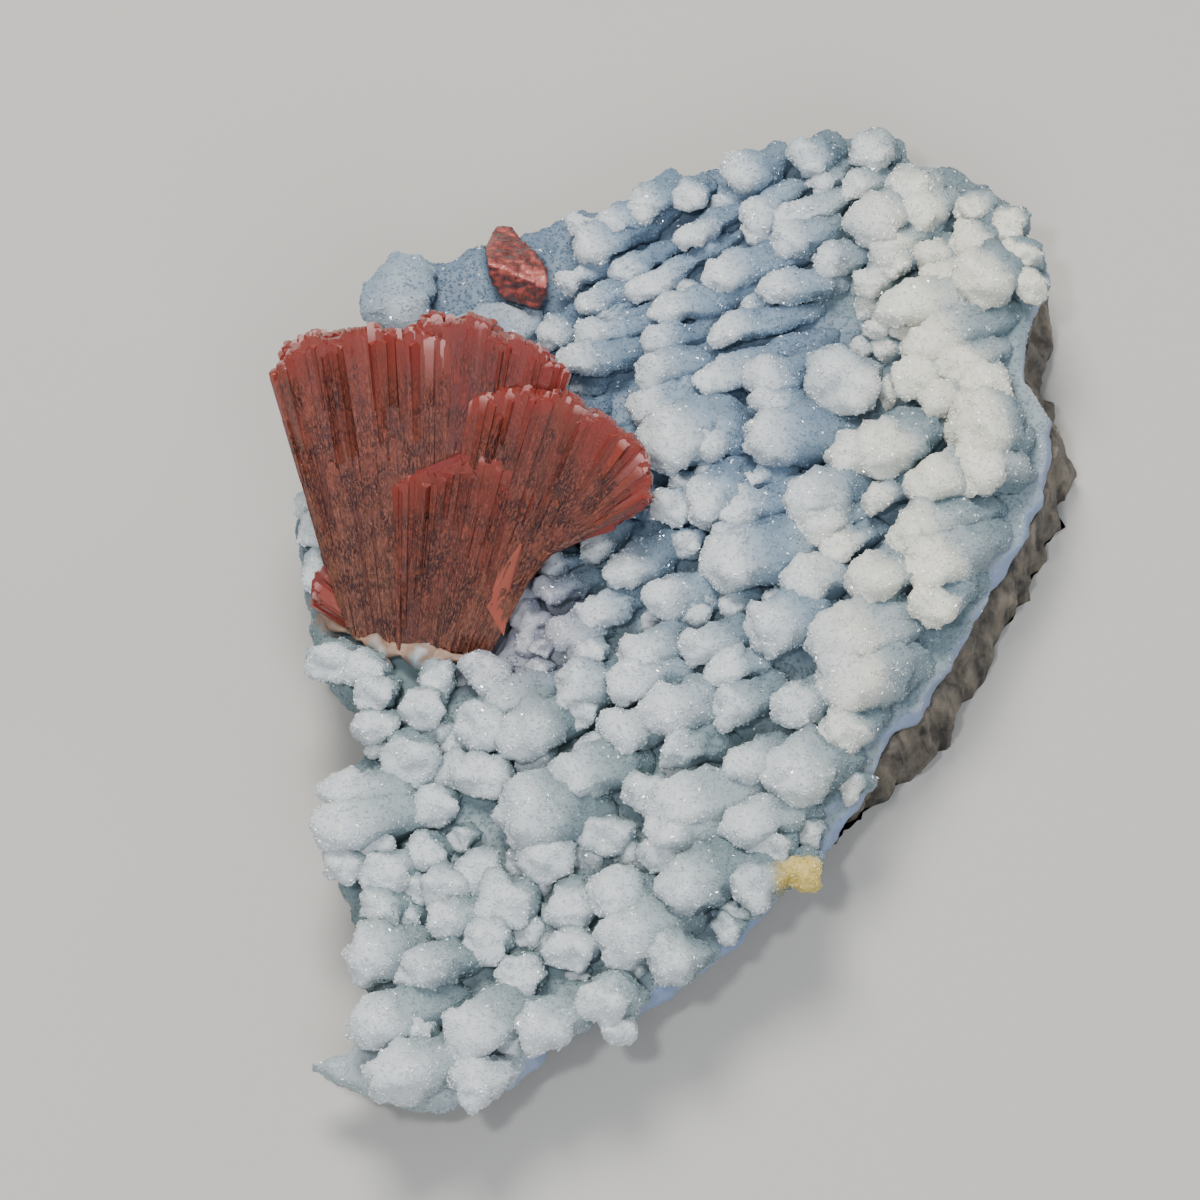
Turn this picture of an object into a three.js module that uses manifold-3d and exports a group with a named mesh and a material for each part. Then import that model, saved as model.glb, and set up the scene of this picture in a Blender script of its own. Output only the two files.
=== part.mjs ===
// A sheaf of red heulandite on drusy chalcedony fingers, on a loose slab of basalt. Millimetres, +Z up.
// The slab lies on its flat broken underside. The origin is the centre of the floor of the whole box.
//
// Places are read in the sight plane, the view from SIGHT_ELEVATION above the floor, along +Y:
// u runs to the right and v runs up in that view, both in millimetres.
import * as THREE from "three";
import { ConvexGeometry } from "three/addons/geometries/ConvexGeometry.js";
import { mergeVertices } from "three/addons/utils/BufferGeometryUtils.js";
import Module from "manifold-3d";

const wasm = await Module();
wasm.setup();

// Driving dimensions
const SIGHT_ELEVATION = THREE.MathUtils.degToRad(62);
const GAP = 0.3; // between neighbouring pieces
const POCKET_GAP = 0.36; // round the feet of fan and crystal
const BED_HEIGHT = 10.4; // basalt under the middle of the crust
const BED_RISE_X = 0.035; // the basalt thickens to the right
const BED_RISE_Y = 0.02; // and to the back
const CRUST_RIM = 2.4; // thickness of the chalcedony layer at its edge
const CRUST_DEEP = 4.4; // and away from the edge
const CRUST_SLOPE_WIDTH = 6; // distance over which it thickens
const CELL = 16; // facet size of the crust
const WALL_FACET = 4.6; // facet width of the broken sides
const RIB_DEPTH = 1.3; // flutes on the right side of the basalt
const RIBBED = [-50, 30]; // compass angles, in degrees, between which the side is fluted
const WAIST_RISE = 0.3; // share of the rough block's height over which the waist fades upwards
const BLOCK_PLAN = [112, 150]; // plan of the blocks that cut the pieces to height
const COLUMN_HEIGHT = 60;
const FOOT_LENGTH = 6; // how far each blade runs on below the foot before it is cut level
const FINGER_SIDES = 5;
const FINGER_FULLNESS = 1.24; // width over a five-sided finger's corners, to width as seen
const RIM_REACH = 1.03; // fingers that reach past the crust's edge are broken off here
const FAN_LEAN = THREE.MathUtils.degToRad(45); // the fan's face above the floor
const FAN_FOOT = [-33, -4.5]; // u, v of its foot
const FOOT_SINK = 1.8; // how deep fan and crystal sit in the crust
const GABLE = 0.35; // how far a blade's gable rises, in shares of its width at the rim

const SIN = Math.sin(SIGHT_ELEVATION);
const COS = Math.cos(SIGHT_ELEVATION);
const UP = new THREE.Vector3(0, 0, 1);
const MIDDLE = new THREE.Vector2(0, -7); // plan centre, from which the rock's sides flare

// Plan of the crust's edge, x and y, counterclockwise from the front right.
const RIM = [
  [20, -36], [21.6, -33.6], [23.7, -28.6], [25.9, -22.8], [29.5, -21.2], [31.4, -17.5], [33.5, -13.8],
  [36.3, -8.9], [39.3, -3], [42.8, 2.9], [45.2, 8.2], [46.9, 15.3], [46.6, 20.2], [43.7, 24.4],
  [43.9, 30.3], [45, 34.7], [47.6, 39.6], [46, 43.5], [44.3, 47.5], [42.8, 52], [38, 54.5],
  [32, 57], [27, 59.5], [20, 59.8], [12, 58], [4, 56.5], [-5, 53], [-12, 51.2],
  [-20, 48.4], [-27, 45.8], [-33, 42.6], [-37.5, 37], [-40.6, 29], [-45, 23], [-47.4, 18],
  [-47.2, 12], [-48.6, 6], [-47.2, -2], [-45.8, -9], [-45.6, -13], [-42, -18], [-38.6, -21],
  [-39, -26.6], [-43.2, -30], [-43.6, -35], [-42, -42], [-40.6, -47.4], [-38.4, -51.4], [-40.2, -54.2],
  [-37, -59], [-38.6, -63], [-40.6, -65], [-45.4, -67], [-38.6, -70.8], [-30, -73.2], [-25, -71.4],
  [-20.4, -69], [-15.4, -63.6], [-11, -60.8], [-7, -62], [-2.4, -58.6],
  [6.5, -52], [11.7, -46], [16.4, -40.6],
];

// How far the basalt's sides stand out from the crust's edge (+) or back under it (-):
// compass angle in degrees about MIDDLE, at the top, at the waist and at the floor.
const BASALT_SIDES = [
  [-180, -3.5, -7, -9], [-110, -3.5, -8, -11], [-75, -3, -8, -10], [-50, -1, -3.5, -6],
  [-42, -0.2, 1.6, 1.2], [-12, -0.1, 2.5, 2.2], [22, -0.1, 2.8, 2.4], [36, -0.1, 5.6, 4.8],
  [44, -0.1, 2.6, 1.8], [58, -2, -2.6, -4], [120, -3, -5, -7], [180, -3.5, -7, -9],
];
const BASALT_LEVELS = [0, 0.17, 0.42, 0.72, 1]; // the heights of its facets, from the floor to above the bed
const BASALT_BLOCK = 24; // height of the rough block before its top is cut to the bed

// Fingers: u, v of the tip, u, v of the visible root, width.
const FINGERS_TOP = [
  [-0.1, 47.1, 8, 52.1, 3.2], [-3.5, 38.2, 9, 41.3, 3.6], [-13.1, 34.8, -1.6, 37.7, 3.8],
  [-4.3, 34.3, 4, 35.8, 3.3], [3.5, 35.1, 14.5, 38, 3.5], [1.8, 28.8, 15, 33.4, 3.8],
  [12.6, 50.2, 22.5, 53.6, 3.5], [-6.1, 40.4, 4.9, 46, 3],
  [3.1, 42.8, 13.8, 45.4, 4.5], [10.7, 41.1, 18.6, 42, 4], [-14.9, 32, -4.7, 33.6, 4.2],
  [-5.8, 29.8, 3.2, 32.4, 4.2], [9.3, 28.8, 16.2, 30.3, 4.5], [6.7, 55.7, 15.5, 59.1, 4.5],
  [15.6, 57.7, 23.9, 61, 4.5], [12.1, 47.6, 19.8, 48.8, 4.6], [-13.3, 45.9, -4.7, 50, 4.5],
  [-9.9, 49, -3, 52, 4], [-6, 51.5, 1, 55, 4],
];
const FINGERS_BACK_RIGHT = [
  [24.2, 58.6, 28.4, 61.2, 4.5], [28, 53.1, 36.6, 57, 5], [29.4, 50.5, 39, 54.4, 5], [22.9, 49, 29, 52, 6],
  [35.2, 46.6, 42.6, 50.4, 4.2], [30.4, 45.2, 36, 47, 4], [26.3, 43.7, 30, 46, 4],
  [25.4, 38.4, 37, 40.4, 5.5], [29, 32.9, 39, 37, 5], [33.4, 30.3, 41.5, 34.6, 5],
  [36.7, 41.3, 44, 44.6, 6.5], [27.4, 29.1, 33.7, 30.7, 5],
];
const FINGERS_RIGHT = [
  [35, 23.6, 43.6, 22.4, 8.5], [28.8, 15.5, 43.5, 20, 5.4], [26.3, 9, 41, 14.6, 5.6],
  [28.8, 4.4, 38.4, 9.6, 6.5], [19.3, 18.6, 25.7, 22.1, 4.5], [23.2, 18.9, 31.1, 23.5, 6],
  [18, 7.7, 23, 10, 4], [21.6, 3.1, 28.9, 6, 6], [16.5, -4.4, 27, -1.4, 7.5], [17.6, -9.6, 26.4, -6.6, 8],
  [11.4, -20.6, 18.4, -18, 7], [9.1, -2.5, 16, 0, 6.5], [12, -12.4, 17.6, -10.4, 5],
  [5.3, -19.7, 14.2, -16.3, 4.5], [30.5, 26.5, 37, 28, 4.5], [37, 27.4, 42.2, 30, 5.5],
  [35, 17.6, 44.2, 18.4, 6], [30, -0.4, 34.6, 3.6, 5], [18, -15.4, 22.6, -12.8, 5],
];
const FINGERS_MIDDLE = [
  [0.7, 21.3, 8.4, 23.4, 5], [8.4, 21.4, 19, 22.8, 6.4], [-4, 20, 5, 24.4, 7.4], [1.5, 12.5, 8, 17, 5.5],
  [4.6, 12.1, 14, 14.5, 4.6], [14, 13.5, 22, 16.6, 5.5], [15.4, 10.5, 21, 12.3, 5],
  [3.1, 5.6, 15, 8.3, 6.8], [3.6, 9.4, 14, 10.8, 4.2], [-4.2, 1.3, 3.7, 3.4, 4.5],
  [-8.3, 4.2, -1.9, 8, 4.5], [9.5, 25.5, 16, 26.4, 4.6], [13, 3.4, 20, 5, 5],
];
const FINGERS_LOWER = [
  [-15.8, -3.5, -10.6, -2, 4.3], [-7.1, -5.6, -0.4, -3.5, 5], [0.3, -4.5, 8.8, -2.5, 4.5],
  [3.5, -7.3, 9, -6.2, 4.5], [-15, -9.4, -8.6, -8.1, 5], [-8.6, -9.4, -0.4, -7.1, 5],
  [-21.4, -15.8, -14.7, -13.3, 6], [-4.7, -12.7, 4, -10.7, 6], [-9.1, -15, -3, -14, 5],
  [-2.4, -17.1, 4.5, -16, 4.2], [-15.5, -21, -7, -18.4, 6], [-22, -25, -12, -24, 8],
  [-3.7, -24, 8, -21.6, 6], [-44, -21.6, -35, -22.6, 5], [-44.4, -26.5, -33.6, -25, 5.6],
  [-30.5, -37.5, -25, -36.6, 4.4], [-4, -27, 4, -25.8, 5], [-2.5, -34, 6, -31, 6.6],
  [7, -34, 11.4, -31.4, 5], [-3, -42, 4, -40.6, 5.4], [-11, -47.4, -5, -45.6, 5.6],
  [-40.6, -42, -33, -41, 5.6], [-34, -44, -26, -41.6, 5], [-39.6, -50.4, -30, -47, 5.6],
  [-10.6, -34.4, -4.6, -35, 6], [-9.6, -40.4, -1.6, -37.6, 6.4], [-19, -51, -13, -47.6, 5],
  [-28, -51.6, -20, -48, 6], [-38, -56, -29, -54, 6], [-27, -57, -18.6, -54, 5],
  [4.6, -12.2, 10.6, -9.6, 4.6], [5.8, -26.4, 13.4, -24.6, 5],
];
// Knobs, fingers seen end on: u, v of the tip, width.
const KNOBS = [
  [19.3, 27.8, 8], [-12.4, -5.8, 5], [-24.5, -8.4, 5], [-32.5, -12.3, 5], [-25.3, -14.5, 6],
  [-34.5, -18.6, 6.2], [-25.1, -20.8, 5.5], [-37, -32.5, 5.5], [-37.4, -36.5, 5], [-25.5, -32.5, 5.2],
  [-29.5, -34, 5], [-22.4, -36, 6.6], [-44.2, -6.4, 5], [-14.5, -36.5, 5.5], [-14, -41.5, 5.4],
  [-24.5, -40.5, 5.4], [-9.8, -27.8, 4.8], [-17.4, -30.6, 5.6], [-20.4, -44.4, 5], [-44.6, 4, 5.4],
  [-46, 9.6, 5], [-44, 15.4, 5.6],
];
// The yellowish lump at the front right edge, and the pale lens beside the small crystal.
const EDGE_LUMP = [14.6, -32, 16.6, -29.2, 4];
const PALE_LENS = [-37.4, 37, -33.4, 44.4, 7];

// The fan's sheaves: guide blades as u, v at the foot and u, v at the rim, the number of blades,
// and how deep the front and back of their feet and rims lie along the fan's normal.
const SHEAVES = [
  {
    guides: [
      [-40.6, 1.4, -49, 29.4], [-39.4, -2.2, -44.6, 34.4],
      [-35, -3.8, -37, 35], [-31, -4.4, -30, 33.6],
    ],
    blades: 9, foot: [0, -6], rim: [1, -9],
  },
  {
    guides: [
      [-36, -3, -33.6, 36], [-33, -4, -30, 37], [-30, -4, -25, 37.3],
      [-27, -4, -19.4, 34], [-25, -4, -14.8, 30],
    ],
    blades: 8, foot: [-1.5, -7], rim: [-2.5, -12.5],
  },
  {
    guides: [
      [-29, -4.4, -22.6, 28.6], [-26, -4.4, -14.4, 27.6], [-24, -4.2, -9.4, 24.2],
      [-24.4, 2, -4.8, 19.6], [-26, 6, -4.4, 14.6], [-27, 6.6, -9.6, 11.4],
    ],
    blades: 11, foot: [0.6, -6], rim: [2, -7.5],
  },
  {
    guides: [
      [-34, -4.4, -33, 18.4], [-30, -4.6, -26.2, 20.2],
      [-27, -4.6, -21, 19.4], [-25, -4.4, -18.2, 15],
    ],
    blades: 6, foot: [1.8, -2], rim: [3.4, -2],
  },
  {
    guides: [[-38, -3, -43, 31], [-33, -4, -32, 34], [-28, -4, -19, 31], [-27, 2, -9, 20]],
    blades: 5, foot: [-5, -9], rim: [-8, -16],
  },
  {
    guides: [[-39.6, -3, -45.4, 2.2], [-39.6, -1.6, -44.6, 4.8]],
    blades: 2,
    foot: [-0.5, -5],
    rim: [-0.5, -4],
  },
];

// Corners of the small crystal: u, v and the height above the crust.
const CRYSTAL = [
  [-23.5, 50.1, 3], [-21.7, 49.9, 3.2], [-18.2, 46.2, 4.6], [-16.8, 43.8, 5.6], [-16.9, 41.6, 6],
  [-24.6, 44.9, 6.6], [-24.8, 47.3, 4.6], [-16.9, 40.6, 4.4], [-17.8, 38.9, 2.6], [-22.4, 40.1, 2.6],
  [-24, 42, 3.4], [-24.2, 46, -3], [-22.4, 48.4, -3], [-18, 44.6, -3], [-17.4, 41.4, -3], [-22.6, 42.6, -3],
];

// A repeatable number from 0 to 1 for each whole number.
function chance(n) {
  const wave = Math.sin(n * 127.1 + 11.7) * 43758.5453;
  return wave - Math.floor(wave);
}

// Height of the bed, the contact of basalt and chalcedony.
function bed(x, y) {
  const wave = 0.5 * Math.sin(x / 9 + 1) + 0.5 * Math.cos(y / 11 - x / 17);
  return BED_HEIGHT + BED_RISE_X * x + BED_RISE_Y * y + wave;
}

function rimDistance(x, y) {
  const here = new THREE.Vector3(x, y, 0);
  const edge = new THREE.Line3();
  const near = new THREE.Vector3();
  return RIM.reduce((least, [ax, ay], i) => {
    const [bx, by] = RIM[(i + 1) % RIM.length];
    edge.set(new THREE.Vector3(ax, ay, 0), new THREE.Vector3(bx, by, 0));
    edge.closestPointToPoint(here, true, near);
    return Math.min(least, near.distanceTo(here));
  }, Infinity);
}

// Height of the crust's upper side, under the fingers.
function crustTop(x, y) {
  const inside = THREE.MathUtils.smoothstep(rimDistance(x, y), 0, CRUST_SLOPE_WIDTH);
  const bumps = 0.35 * Math.sin(x / 2.6) * Math.cos(y / 3.1);
  return bed(x, y) + GAP + THREE.MathUtils.lerp(CRUST_RIM, CRUST_DEEP, inside) + bumps;
}

// The point that is seen at u, v and lies at the given height above the crust.
function onCrust(u, v, lift) {
  let z = BED_HEIGHT + CRUST_DEEP + lift;
  let y = 0;
  for (let round = 0; round < 4; round += 1) {
    y = (v - z * COS) / SIN;
    z = crustTop(u, y) + lift;
  }
  return new THREE.Vector3(u, y, z);
}

// Leaves only the position, joins the shared corners and drops faces that shrink to a line.
function weld(geometry) {
  geometry.deleteAttribute("normal");
  geometry.deleteAttribute("uv");
  const merged = mergeVertices(geometry, 1e-4);
  const old = merged.index.array;
  const faces = [];
  for (let i = 0; i < old.length; i += 3) {
    const [a, b, c] = [old[i], old[i + 1], old[i + 2]];
    if (a !== b && b !== c && c !== a) faces.push(a, b, c);
  }
  return merged.setIndex(faces);
}

// Moves each corner of a welded geometry a little, as no lump here is a true round.
function roughen(geometry, amount, seed) {
  const position = geometry.attributes.position;
  for (let i = 0; i < position.count; i += 1) {
    const shift = [0, 1, 2].map((axis) => amount * (2 * chance(seed + 3 * i + axis) - 1));
    position.setXYZ(i, position.getX(i) + shift[0], position.getY(i) + shift[1], position.getZ(i) + shift[2]);
  }
  return geometry;
}

function solid(geometry) {
  const mesh = new wasm.Mesh({
    numProp: 3,
    vertProperties: new Float32Array(geometry.attributes.position.array),
    triVerts: new Uint32Array(geometry.index.array),
  });
  return new wasm.Manifold(mesh);
}

function joined(solids) {
  return solids.reduce((whole, next) => whole.add(next));
}

// A block over the whole plan, between two surfaces given as heights over x and y.
function between(lower, upper) {
  const [width, depth] = BLOCK_PLAN;
  const cells = [Math.round(width / CELL), Math.round(depth / CELL)];
  const block = weld(new THREE.BoxGeometry(width, depth, 1, cells[0], cells[1], 1).translate(0, MIDDLE.y, 0));
  const position = block.attributes.position;
  for (let i = 0; i < position.count; i += 1) {
    const height = position.getZ(i) > 0 ? upper : lower;
    position.setZ(i, height(position.getX(i), position.getY(i)));
  }
  return solid(block);
}

function outlineShape() {
  return new THREE.Shape(RIM.map(([x, y]) => new THREE.Vector2(x, y)));
}

// Reads a column of BASALT_SIDES at a compass angle.
function sideAt(angle, column) {
  const next = BASALT_SIDES.findIndex((row) => row[0] >= angle);
  const after = BASALT_SIDES[Math.max(next, 1)];
  const before = BASALT_SIDES[Math.max(next, 1) - 1];
  return THREE.MathUtils.mapLinear(angle, before[0], after[0], before[column], after[column]);
}

// How far the side stands out at a compass angle and a level from 0, the floor, to 1.
function sideOffset(angle, level) {
  const [floor, waist, top] = [sideAt(angle, 3), sideAt(angle, 2), sideAt(angle, 1)];
  const waistLevel = BASALT_LEVELS[1];
  if (level <= waistLevel) return THREE.MathUtils.mapLinear(level, 0, waistLevel, floor, waist);
  const rise = Math.min((level - waistLevel) / WAIST_RISE, 1);
  return THREE.MathUtils.lerp(waist, top, rise);
}

function basaltSolid() {
  const count = Math.round(outlineShape().getLength() / WALL_FACET);
  const ring = outlineShape().getSpacedPoints(count).slice(0, count);
  const steps = BASALT_LEVELS.length - 1;
  const block = weld(
    new THREE.ExtrudeGeometry(new THREE.Shape(ring), { depth: steps, steps, bevelEnabled: false }),
  );
  const position = block.attributes.position;
  for (let i = 0; i < position.count; i += 1) {
    const place = new THREE.Vector2(position.getX(i), position.getY(i));
    const outward = place.clone().sub(MIDDLE).normalize();
    const angle = THREE.MathUtils.radToDeg(outward.angle());
    const compass = angle > 180 ? angle - 360 : angle;
    const row = Math.round(position.getZ(i));
    const nearest = ring.findIndex((point) => point.distanceTo(place) < 1e-3);
    const ribbed = compass > RIBBED[0] && compass < RIBBED[1];
    const flute = ribbed ? (nearest % 2) - 0.7 : chance(nearest + 40 * row) - 0.5;
    const fade = row === steps ? 0 : 1;
    const offset = sideOffset(compass, BASALT_LEVELS[row]) + RIB_DEPTH * flute * fade;
    place.addScaledVector(outward, offset);
    position.setXYZ(i, place.x, place.y, BASALT_LEVELS[row] * BASALT_BLOCK);
  }
  return solid(block).intersect(between(() => -1, bed));
}

// A column over the crust's plan, with its outline scaled by reach.
function column(reach) {
  const extrusion = { depth: COLUMN_HEIGHT, bevelEnabled: false };
  const prism = weld(new THREE.ExtrudeGeometry(outlineShape(), extrusion));
  prism.translate(0, -MIDDLE.y, 0).scale(reach, reach, 1).translate(0, MIDDLE.y, 0);
  return solid(prism);
}

function crustSolid() {
  return column(1).intersect(between((x, y) => bed(x, y) + GAP, crustTop));
}

// A rounded finger from its buried root to its blunt tip, wider than it is high when it is broad.
function finger(root, tip, width, seed) {
  const radius = (FINGER_FULLNESS * width) / 2;
  const flat = Math.min(1, (2.4 + 0.45 * width) / width);
  const length = root.distanceTo(tip) + 0.4 * radius;
  const profile = [
    [0, -0.8 * radius], [radius, 0.45 * length], [0.72 * radius, length - 0.25 * radius], [0, length],
  ].map(([r, along]) => new THREE.Vector2(r, along));
  const shape = roughen(weld(new THREE.LatheGeometry(profile, FINGER_SIDES)), 0.13 * radius, 60 * seed);
  const along = tip.clone().sub(root).normalize();
  const side = UP.clone().cross(along).normalize();
  const over = side.clone().cross(along);
  const turn = new THREE.Matrix4().makeBasis(side, along, over.multiplyScalar(flat));
  return solid(shape.applyMatrix4(turn.setPosition(root)));
}

// A finger that lies over the crust: its tip stands clear and its root is buried.
function lyingFinger([tipU, tipV, rootU, rootV, width], seed) {
  const tip = onCrust(tipU, tipV, 1.8 + 0.55 * Math.min(width, 6));
  const root = onCrust(rootU, rootV, -0.25 * width);
  const start = root.clone().lerp(tip, -0.15);
  return finger(start, tip.lerp(root, 0.4 * width / tip.distanceTo(root)), width, seed);
}

function knob([u, v, width], seed) {
  const tip = onCrust(u, v, 2.2 + 0.5 * width);
  const root = onCrust(u + 0.32 * width, v + 0.22 * width, -1.2);
  return finger(root, tip, width, seed);
}

// A point of the fan, seen at u, v, at a depth along the normal of the fan's face.
const fanFoot = onCrust(FAN_FOOT[0], FAN_FOOT[1], 0);
const fanUp = new THREE.Vector3(0, Math.cos(FAN_LEAN), Math.sin(FAN_LEAN));
const fanOut = new THREE.Vector3(0, -Math.sin(FAN_LEAN), Math.cos(FAN_LEAN));
function fanPoint(u, v, depth) {
  const sight = new THREE.Vector3(0, SIN, COS);
  const along = (v - fanFoot.dot(sight) - depth * fanOut.dot(sight)) / fanUp.dot(sight);
  const point = fanFoot.clone().addScaledVector(fanUp, along).addScaledVector(fanOut, depth);
  return point.setX(u);
}

// A flat blade from its foot to a gabled end, made larger all round by grow.
function blade([footU, footV, rimU, rimV], footWidth, rimWidth, foot, rim, grow) {
  const middleDepth = (rim[0] + rim[1]) / 2;
  const footMid = fanPoint(footU, footV, foot[0]);
  const rimMid = fanPoint(rimU, rimV, middleDepth).addScaledVector(fanOut, foot[0] - middleDepth);
  const along = rimMid.clone().sub(footMid);
  const length = along.length();
  along.normalize();
  const side = along.clone().cross(fanOut).normalize();
  const corner = (share, sideways, depth) => footMid.clone()
    .addScaledVector(along, share * length)
    .addScaledVector(side, sideways)
    .addScaledVector(fanOut, depth - foot[0]);
  const footHalf = footWidth / 2 + grow;
  const rimHalf = rimWidth / 2 + grow;
  const start = -(FOOT_LENGTH + grow) / length;
  const shoulder = 1 - (GABLE * rimWidth - grow) / length;
  const end = 1 + grow / length;
  const points = [];
  for (const [footDepth, rimDepth] of [[foot[0] + grow, rim[0] + grow], [foot[1] - grow, rim[1] - grow]]) {
    points.push(corner(start, -footHalf, footDepth), corner(start, footHalf, footDepth));
    points.push(corner(shoulder, -rimHalf, rimDepth), corner(shoulder, rimHalf, rimDepth));
    points.push(corner(end, 0.15 * rimWidth, rimDepth));
  }
  return solid(weld(new ConvexGeometry(points)));
}

function sheaf({ guides, blades, foot, rim }, grow, seed) {
  const spans = guides.length - 1;
  const at = (share) => {
    const span = Math.min(Math.floor(share * spans), spans - 1);
    const next = guides[span + 1];
    return guides[span].map((value, i) => THREE.MathUtils.lerp(value, next[i], share * spans - span));
  };
  const pieces = [];
  for (let i = 0; i < blades; i += 1) {
    const place = at(i / (blades - 1));
    const next = at(Math.min((i + 1) / (blades - 1), 1));
    const before = at(Math.max((i - 1) / (blades - 1), 0));
    const steps = Math.min(i, 1) + Math.min(blades - 1 - i, 1);
    const footWidth = Math.hypot(next[0] - before[0], next[1] - before[1]) / steps + 0.9;
    const rimWidth = Math.hypot(next[2] - before[2], next[3] - before[3]) / steps + 0.7;
    const longer = 1.3 * (chance(seed + i) - 0.5);
    const proud = 0.9 * (chance(seed + i + 20) - 0.5);
    const reach = [place[0], place[1], place[2], place[3] + longer];
    const depths = [foot, rim].map(([front, back]) => [front + proud, back + proud]);
    pieces.push(blade(reach, footWidth, rimWidth, depths[0], depths[1], grow));
  }
  return joined(pieces);
}

// The fan, cut off level with the bed where its foot sits in the crust.
function fanSolid(grow) {
  const whole = joined(SHEAVES.map((one, i) => sheaf(one, grow, 50 * i)));
  const footHeight = CRUST_DEEP - FOOT_SINK - grow;
  return whole.subtract(between(() => -30, (x, y) => bed(x, y) + GAP + footHeight));
}

function crystalSolid(grow) {
  const points = CRYSTAL.map(([u, v, lift]) => onCrust(u, v, Math.max(lift, -FOOT_SINK)));
  const centre = new THREE.Vector3();
  points.forEach((point) => centre.addScaledVector(point, 1 / points.length));
  const grown = points.map((point) => {
    const outward = point.clone().sub(centre);
    return point.clone().addScaledVector(outward.normalize(), 1.4 * grow);
  });
  return solid(weld(new ConvexGeometry(grown)));
}

function druseSolid() {
  const lying = [FINGERS_TOP, FINGERS_BACK_RIGHT, FINGERS_RIGHT, FINGERS_MIDDLE, FINGERS_LOWER].flat();
  const fingers = lying.concat([EDGE_LUMP, PALE_LENS]).map(lyingFinger);
  const knobs = KNOBS.map((one, i) => knob(one, 200 + i));
  const growth = joined(fingers.concat(knobs)).intersect(column(RIM_REACH));
  const under = between((x, y) => bed(x, y) - 30, (x, y) => bed(x, y) + GAP);
  const whole = growth.subtract(under).add(crustSolid());
  return whole.subtract(fanSolid(POCKET_GAP)).subtract(crystalSolid(POCKET_GAP));
}

const FINISHES = {
  basalt_matrix: { color: 0x4a443e, roughness: 0.9, metalness: 0 },
  chalcedony_druse: { color: 0xa9b9bd, roughness: 0.5, metalness: 0 },
  heulandite_fan: { color: 0x9a4436, roughness: 0.35, metalness: 0 },
  heulandite_crystal: { color: 0xb0584c, roughness: 0.35, metalness: 0 },
};

function meshOf(name, piece) {
  const { vertProperties, triVerts } = piece.getMesh();
  const geometry = new THREE.BufferGeometry();
  geometry.setAttribute("position", new THREE.BufferAttribute(new Float32Array(vertProperties), 3));
  geometry.setIndex(new THREE.BufferAttribute(new Uint32Array(triVerts), 1));
  geometry.computeVertexNormals();
  const finish = new THREE.MeshStandardMaterial({ ...FINISHES[name], flatShading: true });
  const mesh = new THREE.Mesh(geometry, finish);
  mesh.name = name;
  return mesh;
}

const specimen = new THREE.Group();
specimen.add(
  meshOf("basalt_matrix", basaltSolid()),
  meshOf("chalcedony_druse", druseSolid()),
  meshOf("heulandite_fan", fanSolid(0)),
  meshOf("heulandite_crystal", crystalSolid(0)),
);

// Stand the specimen on the floor, centred over the origin.
const box = new THREE.Box3().setFromObject(specimen);
const centre = box.getCenter(new THREE.Vector3());
specimen.position.set(-centre.x, -centre.y, -box.min.z);

export default specimen;
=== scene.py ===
# %% [markdown]
# A fan of red heulandite on blue-white chalcedony, on a slab of basalt. The specimen formed in a gas
# bubble of a lava flow: silica lined the bubble and grew into fingers, fine quartz frosted them, and the
# red heulandite came last. The solids of the frame hold the main forms. This script gives them their
# real skin, one piece after another.

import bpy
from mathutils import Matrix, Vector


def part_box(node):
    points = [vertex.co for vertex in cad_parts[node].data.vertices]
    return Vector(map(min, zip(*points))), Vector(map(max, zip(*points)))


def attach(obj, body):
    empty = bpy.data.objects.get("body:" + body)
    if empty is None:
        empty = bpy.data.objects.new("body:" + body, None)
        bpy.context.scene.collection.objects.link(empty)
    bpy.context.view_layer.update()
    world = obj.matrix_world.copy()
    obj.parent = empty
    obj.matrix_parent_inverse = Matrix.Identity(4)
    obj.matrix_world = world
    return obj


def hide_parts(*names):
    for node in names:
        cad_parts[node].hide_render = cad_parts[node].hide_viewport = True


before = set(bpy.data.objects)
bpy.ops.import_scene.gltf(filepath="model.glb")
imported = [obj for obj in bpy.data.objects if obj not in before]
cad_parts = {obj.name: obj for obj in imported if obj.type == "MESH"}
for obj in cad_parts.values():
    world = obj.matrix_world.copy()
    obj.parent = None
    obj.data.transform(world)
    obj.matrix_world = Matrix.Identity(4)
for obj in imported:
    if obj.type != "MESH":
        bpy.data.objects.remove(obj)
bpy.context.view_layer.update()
print("nodes", sorted(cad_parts))

# %% [markdown]
# Everything is in metres, so a few helpers come first. Colours are written as sRGB hex values, the way
# a picture shows them, and one function turns them linear. The others link an object, add a shader node
# with its settings and links, or give a material its surface, which keeps the later cells short.

# %% Units, colours, objects and nodes
import math
import random

import bmesh
import bpy
import numpy as np
from mathutils import Matrix, Vector, noise
from mathutils.bvhtree import BVHTree

MM = 0.001


def hex_linear(code):
    """An sRGB hex value as linear red, green, blue and alpha."""
    parts = [int(code[i:i + 2], 16) / 255 for i in (1, 3, 5)]
    return [c / 12.92 if c <= 0.04045 else ((c + 0.055) / 1.055) ** 2.4 for c in parts] + [1.0]


def add_node(tree, kind, settings=None, links=None):
    """A ShaderNode of one kind, with values by socket or property name and links by socket name."""
    node = tree.nodes.new("ShaderNode" + kind)
    for name, value in (settings or {}).items():
        if hasattr(node, name):
            setattr(node, name, value)
        else:
            node.inputs[name].default_value = value
    for name, source in (links or {}).items():
        tree.links.new(source, node.inputs[name])
    return node


def new_material(name):
    """An empty node material and its output node."""
    material = bpy.data.materials.new(name)
    material.use_nodes = True
    tree = material.node_tree
    tree.nodes.clear()
    return material, tree, tree.nodes.new("ShaderNodeOutputMaterial")


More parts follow.
